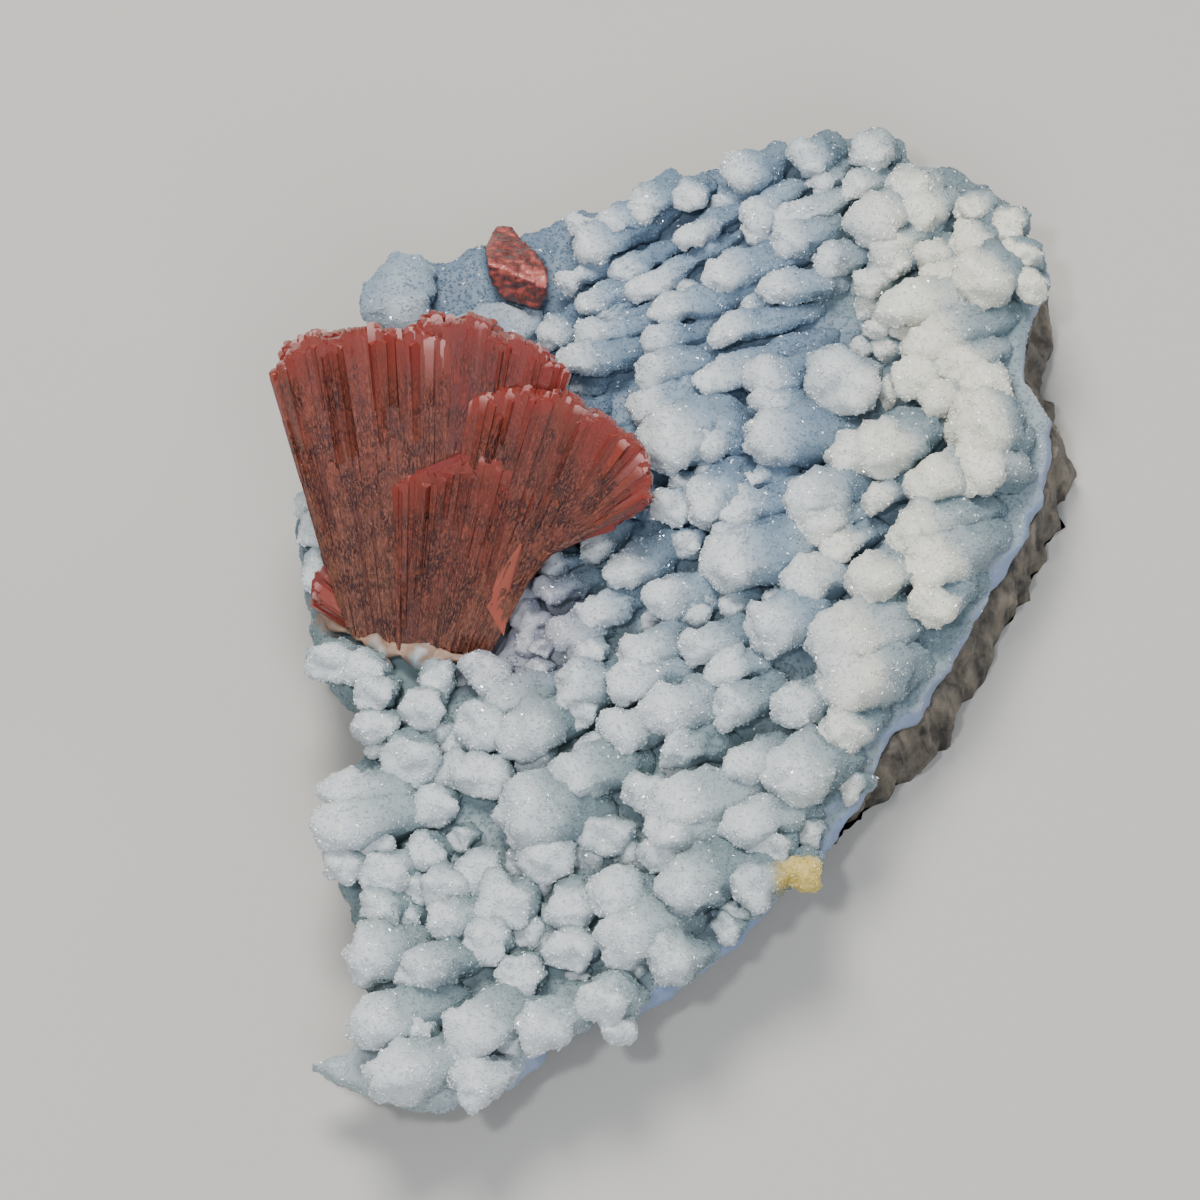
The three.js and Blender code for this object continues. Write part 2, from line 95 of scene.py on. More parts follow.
def add_surface(tree, output, settings, links=None):
    """Gives a material its principled surface."""
    surface = add_node(tree, "BsdfPrincipled", settings, links)
    tree.links.new(surface.outputs["BSDF"], output.inputs["Surface"])


def link_object(name, data):
    """A new object from a mesh, light or camera."""
    thing = bpy.data.objects.new(name, data)
    bpy.context.scene.collection.objects.link(thing)
    return thing


def link_piece(name, bm):
    """A new object from a bmesh."""
    mesh = bpy.data.meshes.new(name)
    bm.to_mesh(mesh)
    bm.free()
    return link_object(name, mesh)


# %% [markdown]
# The camera looks down at the specimen at the photograph's angle, 62 degrees above the floor. A place
# can then be named by what the picture shows: u to the right and v up in the picture, in millimetres,
# and a height above the floor. The long lens keeps that nearly true over the whole piece.

# %% Camera
SIGHT = math.radians(62)
ORIGIN_SHIFT = Vector((-0.27, 5.72, 0))
LENS_MM = 200
SENSOR_MM = 36
PICTURE_MM = 150
AIM = (-10.0, 1.9, 15.0)


def seen_at(u, v, height):
    """The point at a height above the floor that the picture shows at u, v, all in millimetres."""
    y = (v - height * math.cos(SIGHT)) / math.sin(SIGHT)
    return Vector((u, y, height)) + ORIGIN_SHIFT


camera_data = bpy.data.cameras.new("camera")
camera_data.lens = LENS_MM
camera_data.sensor_width = SENSOR_MM
camera_data.clip_start = 0.01
camera = link_object("camera", camera_data)
distance = PICTURE_MM * LENS_MM / SENSOR_MM
camera.location = (seen_at(*AIM) + distance * Vector((0, -math.cos(SIGHT), math.sin(SIGHT)))) * MM
camera.rotation_euler = (math.pi / 2 - SIGHT, 0, 0)
bpy.context.scene.camera = camera
print("camera", [round(c, 3) for c in camera.location])

# %% [markdown]
# A mineral is lit with broad soft lights, and one of them a bit smaller, so that each tiny crystal face
# catches a glint. The floor is plain and pale.

# %% Floor and lights
FLOOR_SIZE = 6.0


def softbox(name, place, target, size, watts, tint):
    """A square area light at a place, turned to a target."""
    data = bpy.data.lights.new(name, "AREA")
    data.energy = watts
    data.size = size
    data.color = hex_linear(tint)[:3]
    light = link_object(name, data)
    light.location = place
    light.rotation_euler = (Vector(target) - Vector(place)).to_track_quat("-Z", "Y").to_euler()


softbox("key", (-0.12, 0.28, 0.72), (0, 0, 0.01), 0.3, 6.6, "#fffaf2")
softbox("front", (0.05, -0.6, 0.7), (0, 0, 0.01), 0.45, 3.8, "#f4f8ff")
softbox("right", (0.7, 0.25, 0.4), (0, 0, 0.01), 0.4, 1.4, "#f2f6ff")
softbox("glint", (-0.15, -0.3, 0.8), (0, 0, 0.01), 0.06, 2.6, "#ffffff")

world = bpy.data.worlds.new("studio")
world.use_nodes = True
world.node_tree.nodes["Background"].inputs["Color"].default_value = hex_linear("#c4c8cc")
world.node_tree.nodes["Background"].inputs["Strength"].default_value = 0.35
bpy.context.scene.world = world

floor_bm = bmesh.new()
bmesh.ops.create_grid(floor_bm, x_segments=1, y_segments=1, size=FLOOR_SIZE / 2)
floor = link_piece("floor", floor_bm)
paper, tree, output = new_material("matt_background_paper")
add_surface(tree, output, {"Base Color": hex_linear("#b9b8b4"), "Roughness": 0.9})
floor.data.materials.append(paper)
print("lights", len(bpy.data.lights))

# %% [markdown]
# The fingers of the druse stand as the picture shows them. A lying finger has its tip, its root and its
# width, all read in the picture in millimetres. A knob is a finger that points at the viewer, so it has
# a tip and a width alone. Two lobes by the single crystal lie flat, and one small lump at the edge is
# yellow. Listed places keep the real layout, which a random one never matches.

# %% Fingers by region
FINGERS_TOP = [
    (-3.5, 38.2, 9, 41.3, 3.6), (3.1, 42.8, 13.8, 45.4, 4.5), (10.7, 41.1, 18.6, 42, 4),
    (-13.1, 34.8, -1.6, 37.7, 3.8), (-14.9, 32, -4.7, 33.6, 4.2), (-5.8, 29.8, 3.2, 32.4, 4.2),
    (1.8, 28.8, 15, 33.4, 3.8), (9.3, 28.8, 16.2, 30.3, 4.5), (6.7, 55.7, 15.5, 59.1, 4.5),
    (15.6, 57.7, 23.9, 61, 4.5), (12.1, 47.6, 19.8, 48.8, 4.6), (-13.3, 45.9, -4.7, 50, 4.5),
    (-9.9, 49, -3, 52, 4), (-6, 51.5, 1, 55, 4), (0.5, 52.6, 6, 57, 3.6), (-0.1, 47.1, 8, 52.1, 3),
    (-6.1, 40.4, 4.9, 47.1, 2.8), (-4.3, 34.3, 4, 35.8, 3.3), (3.5, 35.1, 14.5, 38, 3.5),
    (8, 50.5, 17.2, 55, 3), (8.4, 48.8, 13, 51, 3), (12.6, 50.2, 22.5, 53.6, 3.5),
    (-7.8, 43.3, -0.6, 46.6, 2.8), (-15, 42.3, -8, 45, 2.8), (-12.5, 39, -5, 41.8, 2.8),
]
FINGERS_BACK_RIGHT = [
    (24.2, 58.6, 28.4, 61.2, 4.5), (28, 53.1, 36.6, 57, 5), (29.4, 50.5, 39, 54.4, 5),
    (22.9, 49, 29, 52, 6), (24.8, 45.4, 33.2, 49.5, 3.8), (36.3, 50.7, 40, 53.3, 3.6),
    (35.2, 46.6, 42.6, 50.4, 4.2), (30.4, 45.2, 36, 47, 4), (26.3, 43.7, 30, 46, 4),
    (30.6, 41.6, 38.5, 44.5, 3.8), (25.4, 38.4, 37, 40.4, 5.5), (29, 32.9, 39, 37, 5),
    (33.4, 30.3, 41.5, 34.6, 5), (36.7, 41.3, 44, 44.6, 6.5), (27.4, 29.1, 33.7, 30.7, 5),
    (22, 54, 27, 57, 3.6), (17.5, 44.6, 23, 46.6, 3.6), (17.1, 54.5, 21.2, 57.4, 3),
    (23, 41.6, 27.7, 43.5, 3.4), (23.7, 35.8, 27.7, 37, 2.8),
]
FINGERS_RIGHT = [
    (35, 23.6, 43.6, 22.4, 8.5), (28.8, 15.5, 43.5, 20, 5.4), (26.3, 9, 41, 14.6, 5.6),
    (28.8, 4.4, 38.4, 9.6, 6.5), (19.3, 18.6, 25.7, 22.1, 4.5), (23.2, 18.9, 31.1, 23.5, 6),
    (18, 7.7, 23, 10, 4), (21.6, 3.1, 28.9, 6, 6), (16.5, -4.4, 27, -1.4, 7.5),
    (17.6, -9.6, 26.4, -6.6, 8), (11.4, -20.6, 18.4, -18, 7), (9.1, -2.5, 16, 0, 6.5),
    (12, -12.4, 17.6, -10.4, 5), (5.3, -19.7, 14.2, -16.3, 4.5), (30.5, 26.5, 37, 28, 4.5),
    (37, 27.4, 42.2, 30, 5.5), (35, 17.6, 44.2, 18.4, 6), (30, -0.4, 34.6, 3.6, 5),
    (18, -15.4, 22.6, -12.8, 5), (22.7, 13.7, 28.7, 16.1, 3),
]
FINGERS_MIDDLE = [
    (0.7, 21.3, 8.4, 23.4, 5), (8.4, 21.4, 19, 22.8, 6.4), (-4, 20, 5, 24.4, 7.4),
    (1.5, 12.5, 8, 17, 5.5), (4.6, 12.1, 14, 14.5, 4.6), (14, 13.5, 22, 16.6, 5.5),
    (15.4, 10.5, 21, 12.3, 5), (3.1, 5.6, 15, 8.3, 6.8), (3.6, 9.4, 14, 10.8, 4.2),
    (-4.2, 1.3, 3.7, 3.4, 4.5), (-8.3, 4.2, -1.9, 8, 4.5), (9.5, 25.5, 16, 26.4, 4.6),
    (-6, 26, 3, 28.4, 3.8), (13, 3.4, 20, 5, 5), (8, 16.4, 13, 17.6, 3.2),
]
FINGERS_LOWER = [
    (-12.8, -0.7, -5.3, 2.4, 3.8), (-15.8, -3.5, -10.6, -2, 4.3), (-7.1, -5.6, -0.4, -3.5, 5),
    (0.3, -4.5, 8.8, -2.5, 4.5), (3.5, -7.3, 9, -6.2, 4.5), (-15, -9.4, -8.6, -8.1, 5),
    (-8.6, -9.4, -0.4, -7.1, 5), (-21.4, -15.8, -14.7, -13.3, 6), (-24, -11.2, -16, -9, 3.8),
    (-4.7, -12.7, 4, -10.7, 6), (-9.1, -15, -3, -14, 5), (-2.4, -17.1, 4.5, -16, 4.2),
    (-15.5, -21, -7, -18.4, 6), (-22, -25, -12, -24, 8), (-3.7, -24, 8, -21.6, 6),
    (-44, -21.6, -35, -22.6, 5), (-44.4, -26.5, -33.6, -25, 5.6), (-30.5, -37.5, -25, -36.6, 4.4),
    (-4, -27, 4, -25.8, 5), (-2.5, -34, 6, -31, 6.6), (7, -34, 11.4, -31.4, 5), (-3, -42, 4, -40.6, 5.4),
    (-11, -47.4, -5, -45.6, 5.6), (-40.6, -42, -33, -41, 5.6), (-34, -44, -26, -41.6, 5),
    (-39.6, -50.4, -30, -47, 5.6), (-10.6, -34.4, -4.6, -35, 6), (-9.6, -40.4, -1.6, -37.6, 6.4),
    (-19, -51, -13, -47.6, 5), (-28, -51.6, -20, -48, 6), (-38, -56, -29, -54, 6),
    (-27, -57, -18.6, -54, 5), (4.6, -12.2, 10.6, -9.6, 4.6), (5.8, -26.4, 13.4, -24.6, 5),
    (-18.6, 2.9, -11.7, 3.9, 3),
]
KNOBS = [
    (19.3, 27.8, 8), (-12.4, -5.8, 5), (-24.5, -8.4, 5), (-5.3, -22.6, 4.7), (-32.5, -12.3, 5),
    (-25.3, -14.5, 6), (-34.5, -18.6, 6.2), (-25.1, -20.8, 5.5), (-38, -28.5, 4.5), (-37, -32.5, 5.5),
    (-42, -31.4, 4.6), (-37.4, -36.5, 5), (-25.5, -32.5, 5.2), (-29.5, -34, 5), (-22.4, -36, 6.6),
    (-44.2, -6.4, 5), (-39.6, -7.6, 4.6), (-38.5, -10.4, 4.6), (-38, -14.4, 4.6), (-30.6, -24.4, 4.6),
    (-14.5, -36.5, 5.5), (-14, -41.5, 5.4), (-24.5, -40.5, 5.4), (-9.8, -27.8, 4.8), (-17.4, -30.6, 5.6),
    (-20.4, -44.4, 5), (-44.6, 4, 5.4), (-46, 9.6, 5), (-44, 15.4, 5.6), (-13.4, -12.8, 4.6),
    (-3.4, -30, 4.6), (-1.6, 12.6, 4.6), (10.4, -29, 4.4), (-33, -51, 4.4), (-12.6, 49.7, 3.4),
    (25.1, 56, 2.4), (27.7, 35.8, 3), (-17.6, -4.4, 3), (-11.2, -17.1, 4), (-28.5, -19.8, 3.8),
    (-31.5, -29.5, 4), (-21.5, -11.8, 4), (-18.4, -18, 4), (-31, -8.6, 3.6), (0.6, 8.4, 3.4),
    (-8.4, -50, 3.6), (42, 49.2, 4), (43.2, 45.4, 4.2), (44.2, 41.2, 4),
]
EDGE_LUMP = (14.6, -32, 16.6, -29.2, 4)
FLAT_LOBES = [(-38, 36.6, -33, 45.6, 8), (-30.6, 34.4, -17.5, 38, 6)]
LISTED = FINGERS_TOP + FINGERS_BACK_RIGHT + FINGERS_RIGHT + FINGERS_MIDDLE + FINGERS_LOWER
print("listed fingers", len(LISTED), "knobs", len(KNOBS))

# %% [markdown]
# The lists give places in the picture, so the crust's height is needed to find them in space. Its
# contact with the basalt is a tilted plane with a gentle wave, and the crust is 4.7 mm thick over it.

# %% Heights of the crust
BED = (10.4, 0.035, 0.02)
BED_WAVE = 0.5
CRUST = 4.7


def bed_height(x, y):
    """Height in millimetres of the contact of basalt and chalcedony."""
    x, y = x - ORIGIN_SHIFT.x, y - ORIGIN_SHIFT.y
    wave = BED_WAVE * np.sin(x / 9 + 1) + BED_WAVE * np.cos(y / 11 - x / 17)
    return BED[0] + BED[1] * x + BED[2] * y + wave


def on_crust(u, v, lift):
    """The point that the picture shows at u, v and that lies lift above the crust."""
    point = seen_at(u, v, BED[0] + CRUST + lift)
    for _ in range(3):
        point = seen_at(u, v, bed_height(point.x, point.y) + CRUST + lift)
    return point


def in_picture(point):
    """Where the picture shows a point: u and v."""
    x, y, z = point - ORIGIN_SHIFT
    return Vector((x, y * math.sin(SIGHT) + z * math.cos(SIGHT)))


druse_bm = bmesh.new()
druse_bm.from_mesh(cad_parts["chalcedony_druse"].data)
bmesh.ops.remove_doubles(druse_bm, verts=druse_bm.verts, dist=0.01 * MM)
crust_tree = BVHTree.FromBMesh(druse_bm)
print("crust points", len(druse_bm.verts))

# %% [markdown]
# A finger's root stands in the crust and its tip above it. A root that the picture hides is put as far
# back as the druse reaches, so that none hangs in the air behind the edge.

# %% Places of the listed fingers
ROOT_MARGIN = 0.8
ROOTS_BEYOND = (0.45, 0.2, -0.05, -0.3)
KNOB_LEAN = (0.32, 0.22)
TIP_RISE = 0.6
KNOB_RISE = 0.5
FLAT_LIFTS = (0.3, 1.6)


def on_the_druse(point, margin):
    """Whether the druse lies under a point, with a margin all round."""
    for dx, dy in ((margin, 0), (-margin, 0), (0, margin), (0, -margin)):
        above = Vector((point.x + dx, point.y + dy, 60)) * MM
        if crust_tree.ray_cast(above, Vector((0, 0, -1)))[0] is None:
            return False
    return True


def lying_finger(tip_u, tip_v, root_u, root_v, width):
    """Root, tip and width of a finger that lies over the crust."""
    tip = on_crust(tip_u, tip_v, 2.0 + TIP_RISE * min(width, 6))
    for beyond in ROOTS_BEYOND:
        u, v = root_u + beyond * (root_u - tip_u), root_v + beyond * (root_v - tip_v)
        root = on_crust(u, v, -0.3 * width)
        if on_the_druse(root, 0.4 * width):
            break
    return root, tip, width


def flat_lobe(tip_u, tip_v, root_u, root_v, width):
    """Root, tip and width of a lobe that lies flat on the crust."""
    return on_crust(root_u, root_v, FLAT_LIFTS[0]), on_crust(tip_u, tip_v, FLAT_LIFTS[1]), width


def knob(u, v, width):
    """Root, tip and width of a finger that points at the viewer."""
    root = on_crust(u + KNOB_LEAN[0] * width, v + KNOB_LEAN[1] * width, -1.2)
    return root, on_crust(u, v, 1.6 + KNOB_RISE * width), width


fingers = [flat_lobe(*row) for row in FLAT_LOBES]
fingers += [lying_finger(*row) for row in [EDGE_LUMP] + LISTED] + [knob(*row) for row in KNOBS]
lump_tip = lying_finger(*EDGE_LUMP)[1]
print("fingers placed", len(fingers))

# %% [markdown]
# Low, slender fingers fill the gaps between the listed ones. A random spot is kept only where no finger
# covers it in the picture and where the real crust isn't bare, as it is by the red crystals.

# %% Fingers in the gaps
FILL_TRIES = 7000
FILL_WIDTHS = (2.4, 4.8)
FILL_LIFTS = (0.5, 2.6)
FILL_REACH = (3.5, 9)
FILL_BEARINGS = (8, 34)
CRYSTAL_CLEAR = 9.5
FAN_CLEAR = 12
BARE_CORNER = (-17, 28)
NEAREST = 0.31
random_fill = random.Random(11)
crystal_middle = sum((Vector(c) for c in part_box("heulandite_crystal")), Vector()) / 2 / MM
fan_base = seen_at(-33, -4.5, 13.8)


def covered(spot, width, others):
    """Whether a finger at a spot of the picture would run into another."""
    for root, tip, other in others:
        a, b = in_picture(root), in_picture(tip)
        share = max(0.0, min(1.0, (spot - a).dot(b - a) / max((b - a).length_squared, 1e-6)))
        if (spot - a.lerp(b, share)).length < NEAREST * (other + width):
            return True
    return False


def bare(u, v, tip):
    """Whether the real crust is bare here: near the red crystals and in the corner behind the fan."""
    if (tip.xy - crystal_middle.xy).length <= CRYSTAL_CLEAR or (tip.xy - fan_base.xy).length <= FAN_CLEAR:
        return True
    return u < BARE_CORNER[0] and v > BARE_CORNER[1]


for _ in range(FILL_TRIES):
    u, v = random_fill.uniform(-50, 50), random_fill.uniform(-62, 62)
    width = random_fill.uniform(*FILL_WIDTHS)
    lift = random_fill.uniform(*FILL_LIFTS)
    lean = min(max((v + 30) / 50, 0.0), 1.0)
    reach = random_fill.uniform(*FILL_REACH) * (0.3 + 0.7 * lean)
    bearing = math.radians(random_fill.uniform(*FILL_BEARINGS))
    tip = on_crust(u, v, lift)
    if bare(u, v, tip) or not on_the_druse(tip, 1.2) or covered(Vector((u, v)), width, fingers):
        continue
    root = on_crust(u + reach * math.cos(bearing), v + reach * math.sin(bearing), -0.35 * width)
    if on_the_druse(root, ROOT_MARGIN):
        fingers.append((root, tip, width))
print("fingers in all", len(fingers))

# %% [markdown]
# Many small things are copies of one unit shape. The shape is made once with an operator, and numpy
# places its copies in one mesh, each with its own axes and sizes. That is quick, and the result is
# plain geometry that any export keeps.

# %% Joined copies


def unit_shape(bm):
    """Points and triangles of a bmesh, as arrays."""
    bmesh.ops.triangulate(bm, faces=bm.faces)
    bmesh.ops.recalc_face_normals(bm, faces=bm.faces)
    points = np.array([v.co for v in bm.verts])
    faces = np.array([[v.index for v in f.verts] for f in bm.faces])
    bm.free()
    return points, faces


def store_colours(mesh, colours):
    """Keeps one colour a point in the attribute tone."""
    layer = mesh.color_attributes.new("tone", "FLOAT_COLOR", "POINT")
    full = np.ones((len(mesh.vertices), 4))
    full[:, :3] = colours
    layer.data.foreach_set("color", full.ravel())


def joined_copies(name, unit, faces, places, frames, sizes):
    """One mesh of many copies of a unit shape, each with its own axes and sizes along them."""
    points = places[:, None, :] + sum(
        unit[None, :, i:i + 1] * (frames[i] * sizes[:, i:i + 1])[:, None, :] for i in range(3)
    )
    all_faces = faces[None, :, :] + (np.arange(len(places)) * len(unit))[:, None, None]
    mesh = bpy.data.meshes.new(name)
    mesh.from_pydata(points.reshape(-1, 3), [], all_faces.reshape(-1, faces.shape[1]).tolist())
    return mesh


# %% [markdown]
# The crust under the fingers is the frame's own solid. Its coarse fingers are pressed flat, then the
# Remesh modifier melts the solid into an even skin, and noise ripples that along its normals at two
# scales. A displacement in the material would look alike but leave no real form to export.

# %% Crust skin
VOXEL_MM = 0.9
PRESSED = 0.12


def voxel_skin(piece, voxel, smoothing):
    """Melts a piece's closed shells into one even skin and smooths it."""
    remesh = piece.modifiers.new("even_skin", "REMESH")
    remesh.mode = "VOXEL"
    remesh.voxel_size = voxel * MM
    smooth = piece.modifiers.new("soften", "SMOOTH")
    smooth.factor = 0.5
    smooth.iterations = smoothing
    seen = piece.evaluated_get(bpy.context.evaluated_depsgraph_get())
    skin = bpy.data.meshes.new_from_object(seen)
    piece.modifiers.clear()
    piece.data = skin
    return piece


def ripple(piece, layers, seed, stretch=(1, 1, 1)):
    """Moves each point along its normal by layers of noise: (grain size, height) in millimetres."""
    mesh = piece.data
    shift = Vector((seed, 2.7 * seed, 1.3 * seed))
    normals = [v.normal.copy() for v in mesh.vertices]
    for vertex, normal in zip(mesh.vertices, normals):
        place = vertex.co * Vector(stretch) / MM
        offset = sum(height * noise.noise(place / size + shift) for size, height in layers)
        vertex.co += normal * offset * MM
    mesh.update()


for vertex in druse_bm.verts:
    x, y, z = vertex.co / MM
    top = bed_height(x, y) + CRUST
    if z > top:
        vertex.co.z = (top + PRESSED * (z - top)) * MM
crust = voxel_skin(link_piece("chalcedony_crust", druse_bm), VOXEL_MM, 1)
ripple(crust, [(3.2, 0.7), (1.5, 0.4)], 3)
print("crust faces", len(crust.data.polygons))

# %% [markdown]
# Each finger is a lobe with a narrow root, a full body and a blunt tip, bent a little over the crust.
# The lobe starts as a sphere operator's grid, which is closed and even, and its rings are set to that
# profile and a squarish section. Copies of it stand at all the fingers' places, overlapping like
# shingles, so that each keeps a crisp edge. Noise then makes every one knobbly in its own way. The
# agate lip under the fan's foot is a row of the same lobes, low and long.

# %% Fingers
FINGER_RINGS = 16
ROOT_WIDTH = 0.78
TIP_WIDTH = 1.15
BLUNT = 7
ARCH = 0.18
SQUARE = 3.2
THICK = 0.82
FLATTENED = 0.6
LIP = [(-44.0, -0.2), (-41, -2.3), (-36.5, -4.1), (-31.5, -5.2), (-27, -5.4)]
LIP_WIDTHS = (1.2, 1.7, 2.0, 1.4)
finger_bm = bmesh.new()
bmesh.ops.create_uvsphere(finger_bm, u_segments=FINGER_RINGS, v_segments=FINGER_RINGS, radius=1)
for vertex in finger_bm.verts:
    x, y, z = vertex.co
    share = (z + 1) / 2
    blunt = math.sqrt(max(1 - abs(z) ** BLUNT, 0))
    swell = (ROOT_WIDTH + (TIP_WIDTH - ROOT_WIDTH) * math.sin(2.1 * share)) * 0.5
    off_axis = math.hypot(x, y) > 1e-4
    grow = blunt * swell / (abs(x) ** SQUARE + abs(y) ** SQUARE) ** (1 / SQUARE) if off_axis else 0
    vertex.co = (x * grow, y * grow + ARCH * math.sin(math.pi * share), share)
FINGER, FINGER_FACES = unit_shape(finger_bm)
lip_points = [on_crust(u, v, 0.5) for u, v in LIP]
lip = [(a.lerp(b, -0.25), a.lerp(b, 1.25), w) for a, b, w in zip(lip_points, lip_points[1:], LIP_WIDTHS)]
lobes = fingers + lip
roots = np.array([lobe[0] for lobe in lobes])
spans = np.array([tip - root for root, tip, width in lobes])
widths = np.array([lobe[2] for lobe in lobes])
lengths = np.linalg.norm(spans, axis=1)
forward = spans / lengths[:, None]
sideways = np.cross((0, 0, 1), forward)
sideways /= np.linalg.norm(sideways, axis=1)[:, None]
lobe_axes = (sideways, np.cross(forward, sideways), forward)
lobe_sizes = np.stack([widths, THICK * widths, lengths], axis=1) * MM
lobe_sizes[:len(FLAT_LOBES), 1] *= FLATTENED
druse = link_object("chalcedony_fingers", joined_copies(
    "chalcedony_fingers", FINGER, FINGER_FACES, roots * MM, lobe_axes, lobe_sizes,
))
ripple(druse, [(3.8, 1.1), (1.9, 1.05), (0.9, 0.45)], 3)
print("fingers", len(lobes), "faces", len(druse.data.polygons))

# %% [markdown]
# Chalcedony is white at the tips, where it stands in the light, and blue where one looks deep into it,
# and its colours here also carry painted shade in the gaps. So each point needs its openness, which is
# the share of short rays over it that meet nothing. An ambient occlusion node would show the same shade
# in a render, but the export can't keep it.

# %% Openness
RAY_MM = 5.0
RAY_START_MM = 0.25
RAYS = 9


def point_array(mesh):
    """The mesh's points as an array of metres."""
    flat = np.empty(len(mesh.vertices) * 3)
    mesh.vertices.foreach_get("co", flat)
    return flat.reshape(-1, 3)


def openness(mesh, tree, rays):
    """For each point the share of short rays over its normal that meet nothing in the tree."""
    chooser = random.Random(5)
    spread = [Vector([chooser.gauss(0, 1) for _ in range(3)]).normalized() for _ in range(rays)]
    share = np.empty(len(mesh.vertices))
    for i, vertex in enumerate(mesh.vertices):
        normal = vertex.normal
        start = vertex.co + normal * RAY_START_MM * MM
        hits = [tree.ray_cast(start, (normal * 1.1 + ray).normalized(), RAY_MM * MM)[0] for ray in spread]
        share[i] = hits.count(None) / rays
    return share


both = bmesh.new()
both.from_mesh(crust.data)
both.from_mesh(druse.data)
druse_tree = BVHTree.FromBMesh(both)
both.free()
ray_count = RAYS
druse_open = openness(druse.data, druse_tree, ray_count)
crust_open = openness(crust.data, druse_tree, ray_count)
print("openness", round(float(druse_open.mean()), 2), round(float(crust_open.mean()), 2))

# %% [markdown]
# The colours are laid partly by what makes them on the real druse and partly as painted light and
# shade: the share along the finger, openness and height make a point lit or deep, so tips and open faces
# are painted lit and roots and gaps painted in shade, over the blue of the stone. Regions shift the hue.
# It is bluer at the top, cream toward the right, lilac by the fan's foot, blue on the broken edge, yellow
# on one lump and brown on the lip.

# %% Tones of the druse
TONES = {
    "shaded deep low": "#6f8288", "shaded deep high": "#64798f", "body low": "#9caaaf", "body high": "#8297aa",
    "tip": "#c8cfd3", "cream": "#e2e0d0", "lilac": "#8d8498", "edge": "#7f94ba", "yellow": "#c6b05a",
    "agate": "#947a68",
}
WAVE_MM = 8.0
FLAKE_LIGHT = 0.42
EDGE_LIGHT = 0.3
LILAC_SPOT = (-21, -4)


def smooth_ramp(value, low, high):
    """0 below low, 1 above high and smooth between."""
    t = np.clip((value - low) / (high - low), 0, 1)
    return t * t * (3 - 2 * t)


def blend_rows(base, other, amount):
    """Mixes colours by one amount each."""
    return base + (other - base) * amount[..., None]


def hex_row(code):
    """A hex colour as one linear row."""
    return np.array(hex_linear(code)[:3])[None, :]


def height_over_bed(p):
    """Height above the contact for points in millimetres."""
    return p[:, 2] - bed_height(p[:, 0], p[:, 1])


def lip_distance(p):
    """Distance from the agate lip for points in millimetres."""
    line = np.array(lip_points)
    spans = line[1:] - line[:-1]
    part = p[:, None, :] - line[None, :-1]
    t = np.clip((part * spans).sum(axis=2) / (spans ** 2).sum(axis=1), 0, 1)
    return np.linalg.norm(part - t[:, :, None] * spans, axis=2).min(axis=1)


def broken_side(p):
    """1 toward the right and lower edge, where the crust is broken through and shows its blue band."""
    return smooth_ramp(0.85 * p[:, 0] - 0.53 * p[:, 1], 8, 20)


def side_band(p, normals):
    """1 on the broken side of the crust, below its rim."""
    low = 1 - smooth_ramp(height_over_bed(p), 3.2, 4.9)
    return low * broken_side(p) * (1 - smooth_ramp(normals[:, 2], 0.6, 0.97))


def druse_tones(points, normals, open_share, share, brightness):
    """Linear colours of the druse at points given in metres, with painted light and shade."""
    p = points / MM
    x, y = p[:, 0], p[:, 1]
    height = height_over_bed(p)
    wave = np.array([noise.noise(Vector(q) / WAVE_MM) for q in p])
    picture_v = y * math.sin(SIGHT) + p[:, 2] * math.cos(SIGHT)
    # Painted light and shade: lit is high at tips, on open faces and high points, and low at roots and in
    # gaps.
    lit = 0.74 * smooth_ramp(share, 0.5, 1.0) + 0.14 * smooth_ramp(open_share, 0.3, 1.0)
    lit = lit + 0.12 * smooth_ramp(height, 4.0, 10.0) + brightness + 0.14 * wave
    lit = lit + EDGE_LIGHT * broken_side(p) * (1 - smooth_ramp(height, 3, 6))
    lit = lit + FLAKE_LIGHT * (1 - smooth_ramp(picture_v, -52, -38))
    right = smooth_ramp(x + 0.15 * y + 7 * wave, 16, 34)
    high = smooth_ramp(picture_v + 8 * wave + 0.25 * x, -12, 24) * (1 - 0.85 * right)
    # The deep tones are painted shade over the stone's blue, the body tones lie between.
    deep = blend_rows(hex_row(TONES["shaded deep low"]), hex_row(TONES["shaded deep high"]), high)
    body = blend_rows(hex_row(TONES["body low"]), hex_row(TONES["body high"]), high)
    tone = blend_rows(deep, body, smooth_ramp(lit, 0.05, 0.5))
    cream = smooth_ramp(x - 0.1 * y + 6 * wave, 12, 30) * smooth_ramp(lit, 0.2, 0.7)
    lilac = 1 - smooth_ramp(np.hypot(x - LILAC_SPOT[0], y - LILAC_SPOT[1]), 4, 13)
    yellow = 1 - smooth_ramp(np.linalg.norm(p - np.array(lump_tip), axis=1), 2.4, 4.4)
    # The tip tone is painted light where lit is high; the other tones are the druse's own colours.
    for name, amount in (
        ("tip", smooth_ramp(lit, 0.42, 0.98)), ("cream", 0.8 * cream), ("lilac", 0.5 * lilac),
        ("edge", 0.9 * side_band(p, normals)), ("yellow", 0.95 * yellow),
        ("agate", 1 - smooth_ramp(lip_distance(p), 1.3, 2.0)),
    ):
        tone = blend_rows(tone, hex_row(TONES[name]), amount)
    return tone


print("tones", len(TONES))

# %% [markdown]
# Every finger gets its own slight shade. The colours are stored one a point, in the attribute that the
# material reads.

# %% Tones on the pieces
FLAT_SHARE = 0.74
SHADE_RANGE = (-0.12, 0.14)


def tone_piece(piece, open_share, share, brightness):
    """Stores the tones of a piece of the druse and returns them."""
    mesh = piece.data
    normals = np.array([v.normal for v in mesh.vertices])
    tones = druse_tones(point_array(mesh), normals, open_share, share, brightness)
    store_colours(mesh, tones)
    return tones


